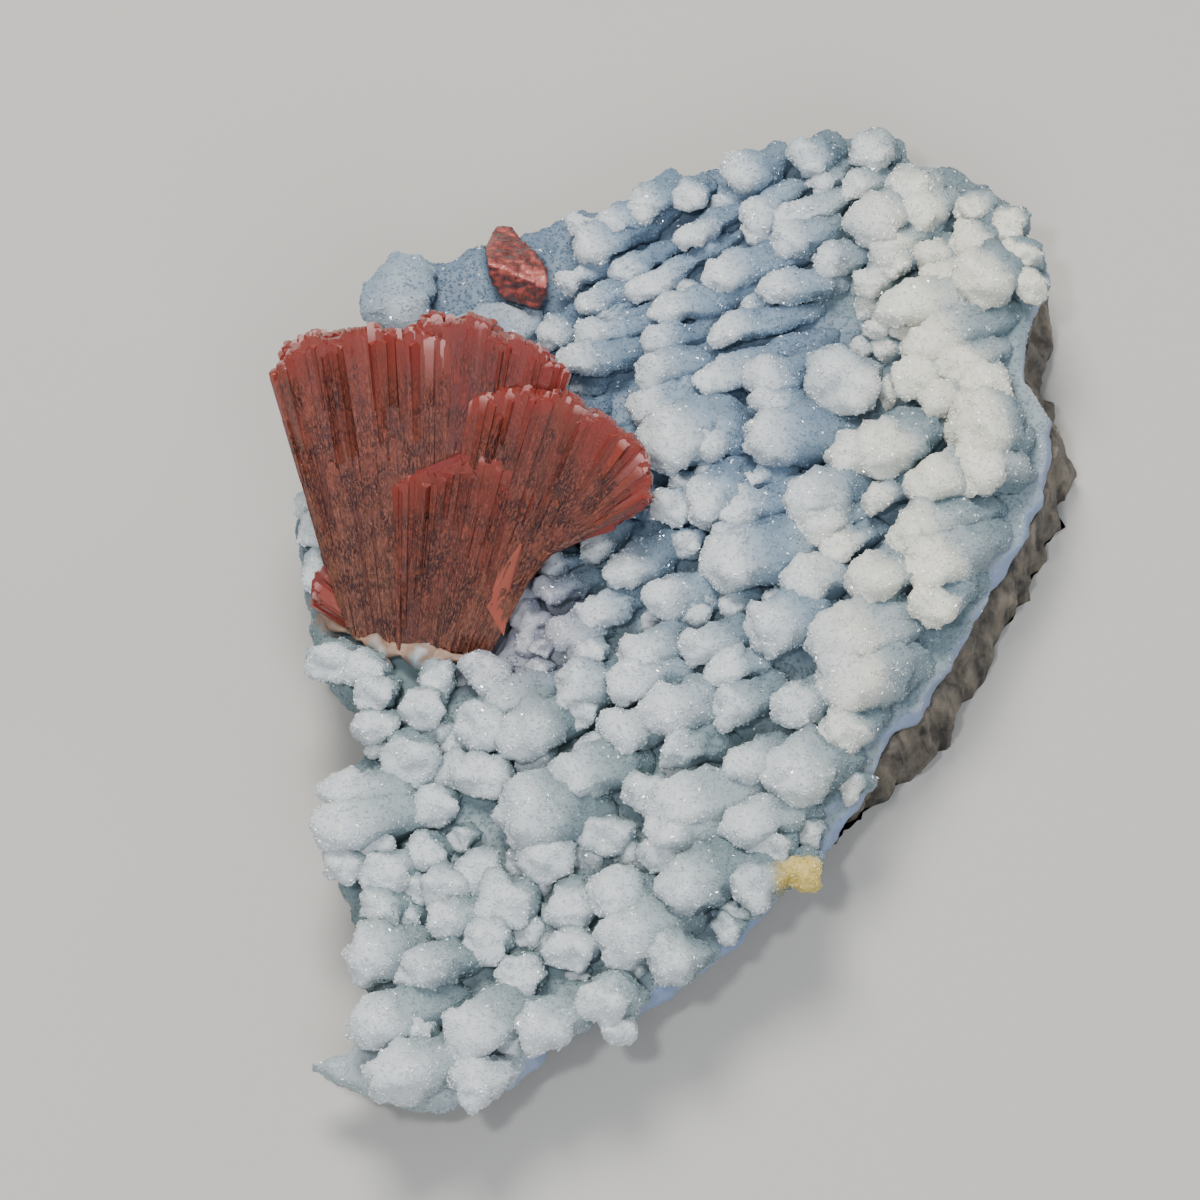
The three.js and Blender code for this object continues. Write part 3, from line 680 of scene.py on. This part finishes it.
chance = np.random.default_rng(23)
finger_share = np.tile(FINGER[:, 2], len(lobes))
finger_share[:len(FLAT_LOBES) * len(FINGER)] = FLAT_SHARE
finger_shade = np.repeat(chance.uniform(*SHADE_RANGE, len(lobes)), len(FINGER))
druse_tone = tone_piece(druse, druse_open, finger_share, finger_shade)
crust_tone = tone_piece(crust, crust_open, np.zeros(len(crust.data.vertices)), 0.0)
print("tones stored", len(druse_tone) + len(crust_tone))

# %% [markdown]
# Quartz frosts the open faces of every finger. The agate lip, the broken blue band, the deep gaps and a
# hem around the red crystals stay free of it. Places are drawn on the triangles by their area.

# %% Places for the quartz
RED_CLEAR = 0.7
LIP_CLEAR = 1.5
UNDERSIDE = -0.75
SEEN = (0.04, 0.3)
GROWTH_MM = (0.3, 1.6)


def scatter_on(mesh, per_mm2, keep, numbers):
    """Random places on triangles that keep allows: points, normals and corners."""
    mesh.calc_loop_triangles()
    corners = np.empty(len(mesh.loop_triangles) * 3, dtype=np.int64)
    mesh.loop_triangles.foreach_get("vertices", corners)
    corners = corners.reshape(-1, 3)
    p = point_array(mesh)[corners]
    cross = np.cross(p[:, 1] - p[:, 0], p[:, 2] - p[:, 0])
    area = np.linalg.norm(cross, axis=1) / 2
    normal = cross / np.maximum(2 * area, 1e-12)[:, None]
    area = area * keep(p.mean(axis=1), normal, corners)
    count = int(area.sum() / MM ** 2 * per_mm2)
    pick = numbers.choice(len(area), count, p=area / area.sum())
    a, b = numbers.random(count), numbers.random(count)
    flip = a + b > 1
    a[flip], b[flip] = 1 - a[flip], 1 - b[flip]
    along, across = p[pick, 1] - p[pick, 0], p[pick, 2] - p[pick, 0]
    place = p[pick, 0] + along * a[:, None] + across * b[:, None]
    return place, normal[pick], corners[pick]


def tilted_frames(normals, tilt, numbers):
    """Three axes a place: two across and one near the normal."""
    up = normals + tilt * numbers.normal(size=normals.shape)
    up /= np.linalg.norm(up, axis=1)[:, None]
    across = np.cross(up, numbers.normal(size=normals.shape))
    across /= np.linalg.norm(across, axis=1)[:, None]
    return across, np.cross(up, across), up


def grown_over(open_share):
    """How densely the quartz grows: full on open faces, none on the lip, under the red crystals or below."""
    def density(centres, normals, corners):
        p = centres / MM
        allowed = (lip_distance(p) > LIP_CLEAR) * (normals[:, 2] > UNDERSIDE) * (1 - side_band(p, normals))
        near = [min(tree.find_nearest(Vector(c))[3] for tree in (fan_tree, crystal_tree)) for c in centres]
        clear = np.array(near) > RED_CLEAR * MM
        seen = smooth_ramp(open_share[corners].mean(axis=1), *SEEN)
        return smooth_ramp(height_over_bed(p), *GROWTH_MM) * allowed * clear * seen
    return density


def solid_tree(node):
    """A tree of a node's faces, for distances."""
    bm = bmesh.new()
    bm.from_mesh(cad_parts[node].data)
    tree = BVHTree.FromBMesh(bm)
    bm.free()
    return tree


fan_tree, crystal_tree = solid_tree("heulandite_fan"), solid_tree("heulandite_crystal")
print("kept clear by", RED_CLEAR, "mm")

# %% [markdown]
# One grain is a three-sided point made with the cone operator. It is copied in numpy arrays, tilted at
# random about the skin's normal, and joined into a few meshes, which stay as real geometry in any
# export. Real grains are down to a fifth of a millimetre; these are about half a millimetre.

# %% Quartz grains
GRAINS_PER_MM2 = 9.0
GRAINS_AT_MOST = 135000
GRAINS_PER_PIECE = 45000
GRAIN_MM = (0.32, 0.62)
GRAIN_LIGHT = (0.94, 1.16)
GRAIN_FOOT = 0.6
GRAIN_RISE = 0.4
GRAIN_LIFT = 0.1
GRAIN_TILT = 0.35
numbers = np.random.default_rng(7)
grain_bm = bmesh.new()
bmesh.ops.create_cone(grain_bm, cap_ends=True, segments=3, radius1=GRAIN_FOOT, radius2=0, depth=GRAIN_RISE)
bmesh.ops.remove_doubles(grain_bm, verts=grain_bm.verts, dist=0.001)
grain, grain_faces = unit_shape(grain_bm)
grain = grain + [0, 0, GRAIN_LIFT]
spots, spot_normals, grain_tone = [], [], []
for piece, tones, open_share in ((druse, druse_tone, druse_open), (crust, crust_tone, crust_open)):
    place, normal, corners = scatter_on(piece.data, GRAINS_PER_MM2, grown_over(open_share), numbers)
    spots.append(place)
    spot_normals.append(normal)
    # Each grain takes the tone under it, painted light and shade included, with a random lightness.
    grain_tone.append(tones[corners].mean(axis=1) * numbers.uniform(*GRAIN_LIGHT, len(place))[:, None])
spots, spot_normals, grain_tone = [np.concatenate(rows) for rows in (spots, spot_normals, grain_tone)]
print("grains wanted", len(spots))
kept = numbers.permutation(len(spots))[:GRAINS_AT_MOST]
spots, spot_normals, grain_tone = spots[kept], spot_normals[kept], grain_tone[kept]
grain_sizes = numbers.uniform(*GRAIN_MM, (len(spots), 1)) * MM * np.ones((1, 3))
grain_frames = tilted_frames(spot_normals, GRAIN_TILT, numbers)
grain_pieces = []
for start in range(0, len(spots), GRAINS_PER_PIECE):
    part = slice(start, start + GRAINS_PER_PIECE)
    name = f"quartz_grains_{len(grain_pieces) + 1}"
    axes = [axis[part] for axis in grain_frames]
    grains = joined_copies(name, grain, grain_faces, spots[part], axes, grain_sizes[part])
    store_colours(grains, np.repeat(grain_tone[part], len(grain), axis=0))
    grain_pieces.append(link_object(name, grains))
print("grains", len(spots), "in", len(grain_pieces), "pieces of", len(grain_faces), "faces a grain")

# %% [markdown]
# Chalcedony is microcrystalline quartz, IOR 1.54, cloudy and slightly translucent: light enters the
# tips and blurs. The grains are clear quartz over it, so they share its colour, painted light and shade
# included, and add a hard gloss.

# %% Chalcedony and quartz
chalcedony, tree, output = new_material("cloudy_chalcedony")
tone = add_node(tree, "VertexColor", {"layer_name": "tone"})
coords = add_node(tree, "TexCoord")
cloud = add_node(tree, "TexNoise", {"Scale": 420.0, "Detail": 4.0},
                 {"Vector": coords.outputs["Object"]})
bump = add_node(tree, "Bump", {"Strength": 0.5, "Distance": 0.0003},
                {"Height": cloud.outputs["Fac"]})
add_surface(
    tree, output,
    {"Roughness": 0.55, "IOR": 1.54, "Subsurface Weight": 0.25, "Subsurface Radius": (1.0, 1.1, 1.3),
     "Subsurface Scale": 0.0012},
    {"Base Color": tone.outputs["Color"], "Normal": bump.outputs["Normal"]},
)
for piece in (crust, druse):
    piece.data.materials.append(chalcedony)
    for face in piece.data.polygons:
        face.use_smooth = True

quartz, tree, output = new_material("sugary_quartz")
tone = add_node(tree, "VertexColor", {"layer_name": "tone"})
add_surface(tree, output, {"Roughness": 0.12, "IOR": 1.54}, {"Base Color": tone.outputs["Color"]})

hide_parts("chalcedony_druse")
for piece in grain_pieces:
    piece.data.materials.append(quartz)
for piece in [crust, druse] + grain_pieces:
    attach(piece, "root")

# %% [markdown]
# Heulandite grows in thin blades, and here thousands of them spread from one foot into a fan of several
# sheaves. Each sheaf is laid out by guides that run from foot to rim in the picture, with depths behind
# the fan's front plane at foot and rim. The plane leans back by 45 degrees. The facet is a smooth face
# at the fan's lower right, without blades.

# %% Sheaves of the fan
FAN_FOOT_V = -4.5
FAN_FOOT = np.array(seen_at(-33, FAN_FOOT_V, 13.84))
FAN_UP = np.array((0, math.cos(math.pi / 4), math.sin(math.pi / 4)))
FAN_OUT = np.array((0, -math.sin(math.pi / 4), math.cos(math.pi / 4)))
FACET = "facet"
SHEAVES = {
    "left": ([(-42.6, 1.2, -50.2, 30.6), (-41, -1.8, -48.4, 33.6), (-38.6, -2.8, -44.6, 35),
              (-35, -3.8, -38, 35.4), (-29.4, -4.4, -27.6, 33)], (0, -6), (1, -9)),
    "crest": ([(-36, -3, -33.8, 36), (-33, -4, -31, 37), (-30, -4, -26.2, 37.4), (-28, -4, -22.8, 35.8),
               (-26, -4, -18, 33.6), (-24, -4, -14.4, 30)], (-0.3, -7), (-0.2, -12.5)),
    "wing": ([(-31, -4.4, -25.4, 27.2), (-28, -4.4, -19, 28.6), (-26, -4.4, -14.4, 27.4),
              (-23.4, -4.2, -9.4, 24.6), (-22.6, 0.6, -4.8, 20.4), (-23, 4, -3.6, 15),
              (-23.4, 6.2, -8.6, 11.4)], (0.6, -6), (2, -7.5)),
    "front": ([(-35, -4.2, -35, 17.6), (-31, -4.4, -26.8, 20.8), (-27, -4.6, -19.8, 19.2),
               (-24, -4.4, -17.4, 14)], (0.6, -2), (1.5, -2)),
    "rear": ([(-38, -3, -43, 31), (-33, -4, -32, 34), (-28, -4, -19, 31), (-27, 2, -9, 20)],
             (-5, -9), (-8, -16)),
    "toe": ([(-41.4, -1.2, -46.2, 2), (-41.2, 0.6, -46, 4.4), (-41, 2.6, -43.8, 7)],
            (-0.6, -5), (-0.2, -4)),
    FACET: ([(-25.4, 3.4, -20.2, 9.2), (-22, -2.6, -19.4, 8.6)], (0.9, -2), (1.4, -2)),
}
CROWN_MM = 1.5
CORNER = 4
print("sheaves", len(SHEAVES) - 1, "and one facet")

# %% [markdown]
# A blade is a flat four-sided rod with a chisel end, cut from a cone by slanting planes. Two rings of
# points near the end let its colour change there.

# %% One blade
BLADE_RINGS = (0.8, 0.92)
BEVEL = 0.07
blade_bm = bmesh.new()
bmesh.ops.create_cone(blade_bm, cap_ends=True, segments=4, radius1=0.5, radius2=0.72, depth=1)
bmesh.ops.rotate(blade_bm, matrix=Matrix.Rotation(math.pi / 4, 3, "Z"), verts=blade_bm.verts)
bmesh.ops.translate(blade_bm, vec=(0, 0, 0.5), verts=blade_bm.verts)
for level in BLADE_RINGS:
    bmesh.ops.bisect_plane(
        blade_bm, geom=blade_bm.verts[:] + blade_bm.edges[:] + blade_bm.faces[:], plane_co=(0, 0, level),
        plane_no=(0, 0, 1),
    )
for side in (-1, 1):
    cut = bmesh.ops.bisect_plane(
        blade_bm, geom=blade_bm.verts[:] + blade_bm.edges[:] + blade_bm.faces[:], clear_outer=True,
        plane_co=(0, 0, 1), plane_no=(BEVEL * side, 0.03, 1),
    )
    bmesh.ops.holes_fill(blade_bm, edges=[e for e in cut["geom_cut"] if isinstance(e, bmesh.types.BMEdge)])
BLADE, BLADE_FACES = unit_shape(blade_bm)
print("a blade has", len(BLADE_FACES), "triangles")

# %% [markdown]
# The blades lie side by side on the front, the back and the narrow sides of a sheaf, and a third of them
# end at its rim, at all depths. They end in bundles of about 3 mm, so the rim is knobbly, as the real
# one is. Rim blades are wider and turned at random, the rest lie flat on their face of the sheaf.

# %% Blades of the sheaves
FRONT, BACK, SIDE, RIM = range(4)
BLADE_MIX = (0.4, 0.17, 0.11, 0.32)
BLADES_PER_MM2 = 0.8
BUNDLE_MM = 3.0
RIM_CUTS = {"front": 3.0, "wing": 1.6}
RIM_CUT = 2.2
RIM_RISE = 0.9
SHORT_SHARE = 0.45
SHORT_ENDS = (0.2, 0.97)
LENGTH_MM = (5, 15)
WIDTH_MM = (0.5, 1.15)
STOUT_MM = (0.9, 1.6)
RIM_WIDTH = 1.5
RIM_TURN = 0.7
NUDGE = 0.02
bundle_cut = numbers.uniform(0, 1, (40, 40))


def sheaf_points(sheaf, across, along, depth):
    """Points of a sheaf: shares across, along from foot to rim, and in depth from front to back."""
    guides, foot, rim = SHEAVES[sheaf]
    rows = np.array(guides, dtype=float)
    at = across * (len(rows) - 1)
    foot_u, foot_v, rim_u, rim_v = [np.interp(at, np.arange(len(rows)), rows[:, k]) for k in range(4)]
    u, v = foot_u + (rim_u - foot_u) * along, foot_v + (rim_v - foot_v) * along
    front, back = foot[0] + (rim[0] - foot[0]) * along, foot[1] + (rim[1] - foot[1]) * along
    round_off = CROWN_MM * np.abs(2 * np.clip(across, 0, 1) - 1) ** CORNER * along
    deep = front + (back - front) * depth - round_off * (1 - 1.4 * depth)
    sight = np.array((0, math.sin(SIGHT), math.cos(SIGHT)))
    rise = (v - FAN_FOOT_V - deep * (FAN_OUT @ sight)) / (FAN_UP @ sight)
    place = FAN_FOOT + rise[:, None] * FAN_UP + deep[:, None] * FAN_OUT
    place[:, 0] = u + ORIGIN_SHIFT.x
    return place, deep


def unit_rows(rows):
    """Rows made one long."""
    return rows / np.maximum(np.linalg.norm(rows, axis=1), 1e-9)[:, None]


def facing_out(forward, sideways):
    """The outward axes of blades and sideways axes to match."""
    outward = np.cross(forward, sideways)
    outward *= np.sign(outward @ FAN_OUT)[:, None]
    return outward, np.cross(outward, forward)


def sheaf_blades(sheaf):
    """Places, axes, sizes, shares along and distances from the rim of a sheaf's blades."""
    edge = [sheaf_points(sheaf, np.array([s]), np.array([1.0]), np.array([0.5]))[0][0] for s in (0, 0.5, 1)]
    foot = sheaf_points(sheaf, np.array([0.5]), np.array([0.0]), np.array([0.5]))[0][0]
    breadth = np.linalg.norm(edge[1] - edge[0]) + np.linalg.norm(edge[2] - edge[1])
    reach = np.linalg.norm(edge[1] - foot)
    thick = abs(SHEAVES[sheaf][2][0] - SHEAVES[sheaf][2][1])
    count = int(BLADES_PER_MM2 * breadth * (reach + thick))
    kind = numbers.choice(4, count, p=BLADE_MIX)
    across = np.where(kind == SIDE, numbers.choice([0.0, 1.0], count), numbers.random(count))
    depth = np.choose(kind, [np.zeros(count), np.ones(count), numbers.random(count), numbers.random(count)])
    inside = (numbers.random(count) < SHORT_SHARE) & (kind < RIM)
    bundle = bundle_cut[(across * breadth / BUNDLE_MM).astype(int), (depth * thick / BUNDLE_MM).astype(int)]
    cut = RIM_CUTS.get(sheaf, RIM_CUT) * bundle + np.abs(numbers.normal(0, 0.5, count))
    cut = np.where(kind == RIM, cut + np.abs(numbers.normal(0, 0.8, count)), cut) - RIM_RISE
    end = np.where(inside, numbers.uniform(*SHORT_ENDS, count), 1 - cut / reach)
    length = numbers.uniform(*LENGTH_MM, count)
    start = np.maximum(end - length / reach, -0.02)
    low, _ = sheaf_points(sheaf, across, start, depth)
    high, _ = sheaf_points(sheaf, across, end, depth)
    left, _ = sheaf_points(sheaf, across - NUDGE, end, depth)
    right, _ = sheaf_points(sheaf, across + NUDGE, end, depth)
    forward = unit_rows(high - low)
    sideways = unit_rows(right - left + 1e-6)
    sideways = unit_rows(sideways - (sideways * forward).sum(axis=1)[:, None] * forward)
    outward, sideways = facing_out(forward, sideways)
    turn = np.where(kind == RIM, numbers.uniform(-RIM_TURN, RIM_TURN, count), 0)[:, None]
    outward, sideways = facing_out(forward, sideways * np.cos(turn) + outward * np.sin(turn))
    width = numbers.uniform(*WIDTH_MM, count) * (0.6 + 0.4 * end) * np.where(kind == RIM, RIM_WIDTH, 1)
    stout = numbers.uniform(*STOUT_MM, count)
    sink = np.choose(kind, [-0.5 * stout + 0.12 * inside, 0.5 * stout, np.zeros(count), np.zeros(count)])
    place = low + outward * (sink + numbers.normal(0, 0.07, count))[:, None]
    sizes = np.stack([width, stout, np.linalg.norm(high - low, axis=1)], axis=1)
    return place, (sideways, outward, forward), sizes, end, (1 - end) * reach


parts = {name: sheaf_blades(name) for name in SHEAVES if name != FACET}
blade_total = sum(len(part[0]) for part in parts.values())
print("blades", blade_total, "of", len(BLADE_FACES), "faces")

# %% [markdown]
# The red comes from fine hematite: deep red in the last millimetres at the rim, salmon-brown on the face.
# Each blade gets its own shade of its sheaf's colour, and some heads are pale and glassy, partly as a
# painted glint.

# %% Colours of the blades
SHADES = {"left": "#985241", "crest": "#8c3f36", "wing": "#8e4c3b", "front": "#8c4a3a", "rear": "#86403a",
          "toe": "#8f432f", FACET: "#a2503e"}
FOOT_BROWN = "#86604a"
RIM_RED = "#84302a"
PALE_GLINT = "#d8a3a0"
PALE_GLINT_SHARE = 0.2


def store_numbers(mesh, name, rows):
    """Keeps three numbers a point under a name."""
    mesh.attributes.new(name, "FLOAT_VECTOR", "POINT").data.foreach_set("vector", rows.ravel())


def blade_tones(sheaf, to_rim):
    """Colours of the points of a sheaf's blades: the sheaf's own, redder toward the rim, some heads pale,
    partly a painted glint.
    """
    count = len(to_rim)
    shade = numbers.uniform(0.66, 0.98, (count, 1, 1))
    base = hex_row(SHADES[sheaf])[None] * shade * np.ones((1, len(BLADE), 1))
    red = (1 - smooth_ramp(to_rim, 1.5, 9)) * numbers.uniform(0.5, 1.0, (count, 1))
    # Painted glint: a fifth of the blades get pale pink heads at the rim, partly their glassy ends.
    glint_heads = (1 - smooth_ramp(to_rim, 0.4, 1.8)) * (numbers.random((count, 1)) < PALE_GLINT_SHARE)
    base = blend_rows(base, hex_row(FOOT_BROWN), 0.5 * smooth_ramp(to_rim, 14, 32))
    return blend_rows(blend_rows(base, hex_row(RIM_RED), red), hex_row(PALE_GLINT), 0.6 * glint_heads)


print("shades", len(SHADES))

# %% [markdown]
# Half a millimetre under the blades lies a smooth core, one for each sheaf, red at its rim, so no gap
# shows through the fan. Each core but the facet's is painted darker than its sheaf, as the shade between
# the blades. Three numbers a point carry each blade's place in millimetres, so that flecks and fine
# striations run along it, and three more say how strongly it is flecked.

# %% Fan piece
CORE_SINK = 0.5
CORE_SHARE = 0.97
CORE_GAP_SHADE = 0.6
CORE_RED = "#7a2c27"
CORE_CUTS = 9
box_bm = bmesh.new()
bmesh.ops.create_cube(box_bm, size=1)
bmesh.ops.subdivide_edges(box_bm, edges=box_bm.edges, cuts=CORE_CUTS, use_grid_fill=True)
BOX, BOX_FACES = unit_shape(box_bm)


def sheaf_core(sheaf):
    """A closed smooth slab of a sheaf, just under its blades. The facet has no blades, so it stays full."""
    _, foot, rim = SHEAVES[sheaf]
    sink = 0 if sheaf == FACET else CORE_SINK
    full = 1 - 2 * sink / abs(rim[0] - rim[1])
    inner = CORE_SHARE if sink else 1.0
    across, along = 0.5 + BOX[:, 0] * inner, (BOX[:, 2] + 0.5) * inner
    points, _ = sheaf_points(sheaf, across, along, 0.5 - BOX[:, 1] * full)
    core = bpy.data.meshes.new("core")
    core.from_pydata(points * MM, [], BOX_FACES.tolist())
    # Painted shade: the core shows only in the gaps between blades, so it is dimmed to their shade.
    gap_shaded = hex_row(SHADES[sheaf]) * (CORE_GAP_SHADE if sink else 1.0)
    rim_red = smooth_ramp(BOX[:, 2], 0.2, 0.45) if sink else np.zeros(len(BOX))
    store_colours(core, blend_rows(gap_shaded * np.ones((len(BOX), 1)), hex_row(CORE_RED), rim_red))
    store_numbers(core, "blade_mm", BOX * (24, 6, 30))
    store_numbers(core, "fleck", np.repeat((1.0 if sink else 0.3) * (1 - rim_red), 3))
    return core


fan_bm = bmesh.new()
for name in SHEAVES:
    core = sheaf_core(name)
    fan_bm.from_mesh(core)
    bpy.data.meshes.remove(core)
bmesh.ops.recalc_face_normals(fan_bm, faces=fan_bm.faces)
for name, (place, axes, sizes, end, from_rim) in parts.items():
    to_rim = from_rim[:, None] + (1 - BLADE[None, :, 2]) * sizes[:, 2:3]
    blades = joined_copies(name, BLADE, BLADE_FACES, place * MM, axes, sizes * MM)
    store_colours(blades, blade_tones(name, to_rim).reshape(-1, 3))
    own = BLADE[None, :, :] * sizes[:, None, :] + numbers.uniform(0, 90, (len(place), 1, 3))
    store_numbers(blades, "blade_mm", own.reshape(-1, 3))
    strength = 0.0 if name == "toe" else 1.0
    fleck = strength * smooth_ramp(to_rim, 1.0, 5.5).reshape(-1, 1) * np.ones((1, 3))
    store_numbers(blades, "fleck", fleck)
    fan_bm.from_mesh(blades)
    bpy.data.meshes.remove(blades)
fan = link_piece("heulandite_sheaves", fan_bm)
print("fan faces", len(fan.data.polygons))

# %% [markdown]
# The single crystal by the fan is one coffin-shaped blade bundle. A voxel skin softens its edges a
# little. Its upper face is painted lit salmon, and its lower ones are painted dark in shade and striated.

# %% Single crystal
crystal_bm = bmesh.new()
crystal_bm.from_mesh(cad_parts["heulandite_crystal"].data)
crystal = voxel_skin(link_piece("single_heulandite", crystal_bm), 0.3, 1)
ripple(crystal, [(1.6, 0.2), (0.7, 0.16)], 9)
crystal_points = point_array(crystal.data)
crystal_normals = np.array([v.normal for v in crystal.data.vertices])
# Painted light and shade: faces turned up toward the light are salmon, the others dark.
painted_lit_face = smooth_ramp(crystal_normals @ np.array((-0.35, -0.25, 0.9)), 0.55, 0.9)
crystal_tone = blend_rows(np.tile(hex_row("#603235"), (len(painted_lit_face), 1)), hex_row("#c4625a"), painted_lit_face)
store_colours(crystal.data, crystal_tone)
turn = Matrix.Rotation(math.radians(35), 3, "Z")
store_numbers(crystal.data, "blade_mm", crystal_points / MM @ np.array(turn))
store_numbers(crystal.data, "fleck", np.repeat(0.85 - 0.45 * painted_lit_face, 3))
print("crystal faces", len(crystal.data.polygons))

# %% [markdown]
# Heulandite has a glassy to pearly gloss, IOR 1.50. The dark flecks are noise stretched along each
# blade, about 0.25 by 0.7 mm and stronger in patches of about 3 mm, over a tan ground. The same noise
# as a bump makes the fine striations.

# %% Heulandite
def product(tree, first, second):
    """A math node's output that multiplies two others."""
    node = add_node(tree, "Math", {"operation": "MULTIPLY"})
    tree.links.new(first, node.inputs[0])
    tree.links.new(second, node.inputs[1])
    return node.outputs["Value"]


def toward(tree, factor, colour, other):
    """A mix node's output from a colour toward a fixed one."""
    node = add_node(tree, "Mix", {"data_type": "RGBA"})
    tree.links.new(factor, node.inputs["Factor"])
    tree.links.new(colour, node.inputs[6])
    node.inputs[7].default_value = hex_linear(other)
    return node.outputs[2]


heulandite, tree, output = new_material("red_heulandite")
tone = add_node(tree, "VertexColor", {"layer_name": "tone"})
place = add_node(tree, "Attribute", {"attribute_name": "blade_mm"})
fleck = add_node(tree, "Attribute", {"attribute_name": "fleck"})
along = add_node(tree, "Mapping", {"Scale": (4.4, 4.4, 1.5)}, {"Vector": place.outputs["Vector"]})
streak = add_node(tree, "TexNoise", {"Scale": 1.0, "Detail": 6.0, "Roughness": 0.72},
                  {"Vector": along.outputs["Vector"]})
dark = add_node(tree, "MapRange", {"From Min": 0.38, "From Max": 0.54},
                {"Value": streak.outputs["Fac"]})
coords = add_node(tree, "TexCoord")
patch = add_node(tree, "TexNoise", {"Scale": 330.0, "Detail": 4.0},
                 {"Vector": coords.outputs["Object"]})
strong = add_node(tree, "MapRange", {"From Min": 0.36, "From Max": 0.6, "To Min": 0.5},
                  {"Value": patch.outputs["Fac"]})
tan = add_node(tree, "MapRange", {"From Min": 0.4, "From Max": 0.7, "To Max": 0.4},
               {"Value": patch.outputs["Fac"]})
patchy = product(tree, dark.outputs["Result"], strong.outputs["Result"])
brown = product(tree, tan.outputs["Result"], fleck.outputs["Fac"])
ground = toward(tree, brown, tone.outputs["Color"], "#85563f")
mixed = toward(tree, product(tree, patchy, fleck.outputs["Fac"]), ground, "#35191b")
bump = add_node(tree, "Bump", {"Strength": 0.4, "Distance": 0.0002},
                {"Height": streak.outputs["Fac"]})
add_surface(
    tree, output, {"Roughness": 0.18, "IOR": 1.5, "Coat Weight": 0.3, "Coat Roughness": 0.06},
    {"Base Color": mixed, "Normal": bump.outputs["Normal"]},
)
for piece, node, slot in (
    (fan, "heulandite_fan", "heulandite"), (crystal, "heulandite_crystal", "heulandite_single"),
):
    piece.data.materials.append(heulandite)
    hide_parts(node)
    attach(piece, "root")

# %% [markdown]
# The basalt breaks with a rough, hackly face. A voxel skin of the frame's slab is rippled in four
# sizes. Its underside stays flat on the floor, and all else is kept 0.3 mm over it.

# %% Basalt slab
FLAT_MM = 0.6
LOWEST_MM = 0.3
HACKLES = [(2.8, 1.8), (1.3, 0.5)]
CHIPS = [(4.0, 0.5), (1.1, 0.3)]
basalt_bm = bmesh.new()
basalt_bm.from_mesh(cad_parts["basalt_matrix"].data)
basalt = voxel_skin(link_piece("hackly_basalt", basalt_bm), 0.9, 0)
flat = [v.index for v in basalt.data.vertices if v.co.z < FLAT_MM * MM]
ripple(basalt, HACKLES, 17, (1, 1, 0.3))
ripple(basalt, CHIPS, 5)
for vertex in basalt.data.vertices:
    vertex.co.z = max(vertex.co.z, LOWEST_MM * MM)
for index in flat:
    basalt.data.vertices[index].co.z = 0
print("basalt faces", len(basalt.data.polygons))

# %% [markdown]
# Basalt is dull and near black, with paler streaks, partly its own colour and partly painted light on
# the ribs, with painted shade between them. They are noise of about 2.6 mm, drawn out upward like the
# ribs of the broken side, which also roughens the skin as a bump.

# %% Dark basalt
rock, tree, output = new_material("dark_basalt")
coords = add_node(tree, "TexCoord")
ribs = add_node(tree, "Mapping", {"Scale": (1, 1, 0.3)}, {"Vector": coords.outputs["Object"]})
patches = add_node(tree, "TexNoise", {"Scale": 380.0, "Detail": 6.0, "Roughness": 0.6},
                   {"Vector": ribs.outputs["Vector"]})
# Dark is painted shade between the ribs, pale is partly painted light on them.
shade = add_node(tree, "ValToRGB", None, {"Fac": patches.outputs["Fac"]})
for stop, position, code in zip(shade.color_ramp.elements, (0.35, 0.7), ("#191716", "#857b6c")):
    stop.position, stop.color = position, hex_linear(code)
bump = add_node(tree, "Bump", {"Strength": 0.7, "Distance": 0.0005},
                {"Height": patches.outputs["Fac"]})
add_surface(
    tree, output, {"Roughness": 0.6, "IOR": 1.6},
    {"Base Color": shade.outputs["Color"], "Normal": bump.outputs["Normal"]},
)
basalt.data.materials.append(rock)
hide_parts("basalt_matrix")
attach(basalt, "root")
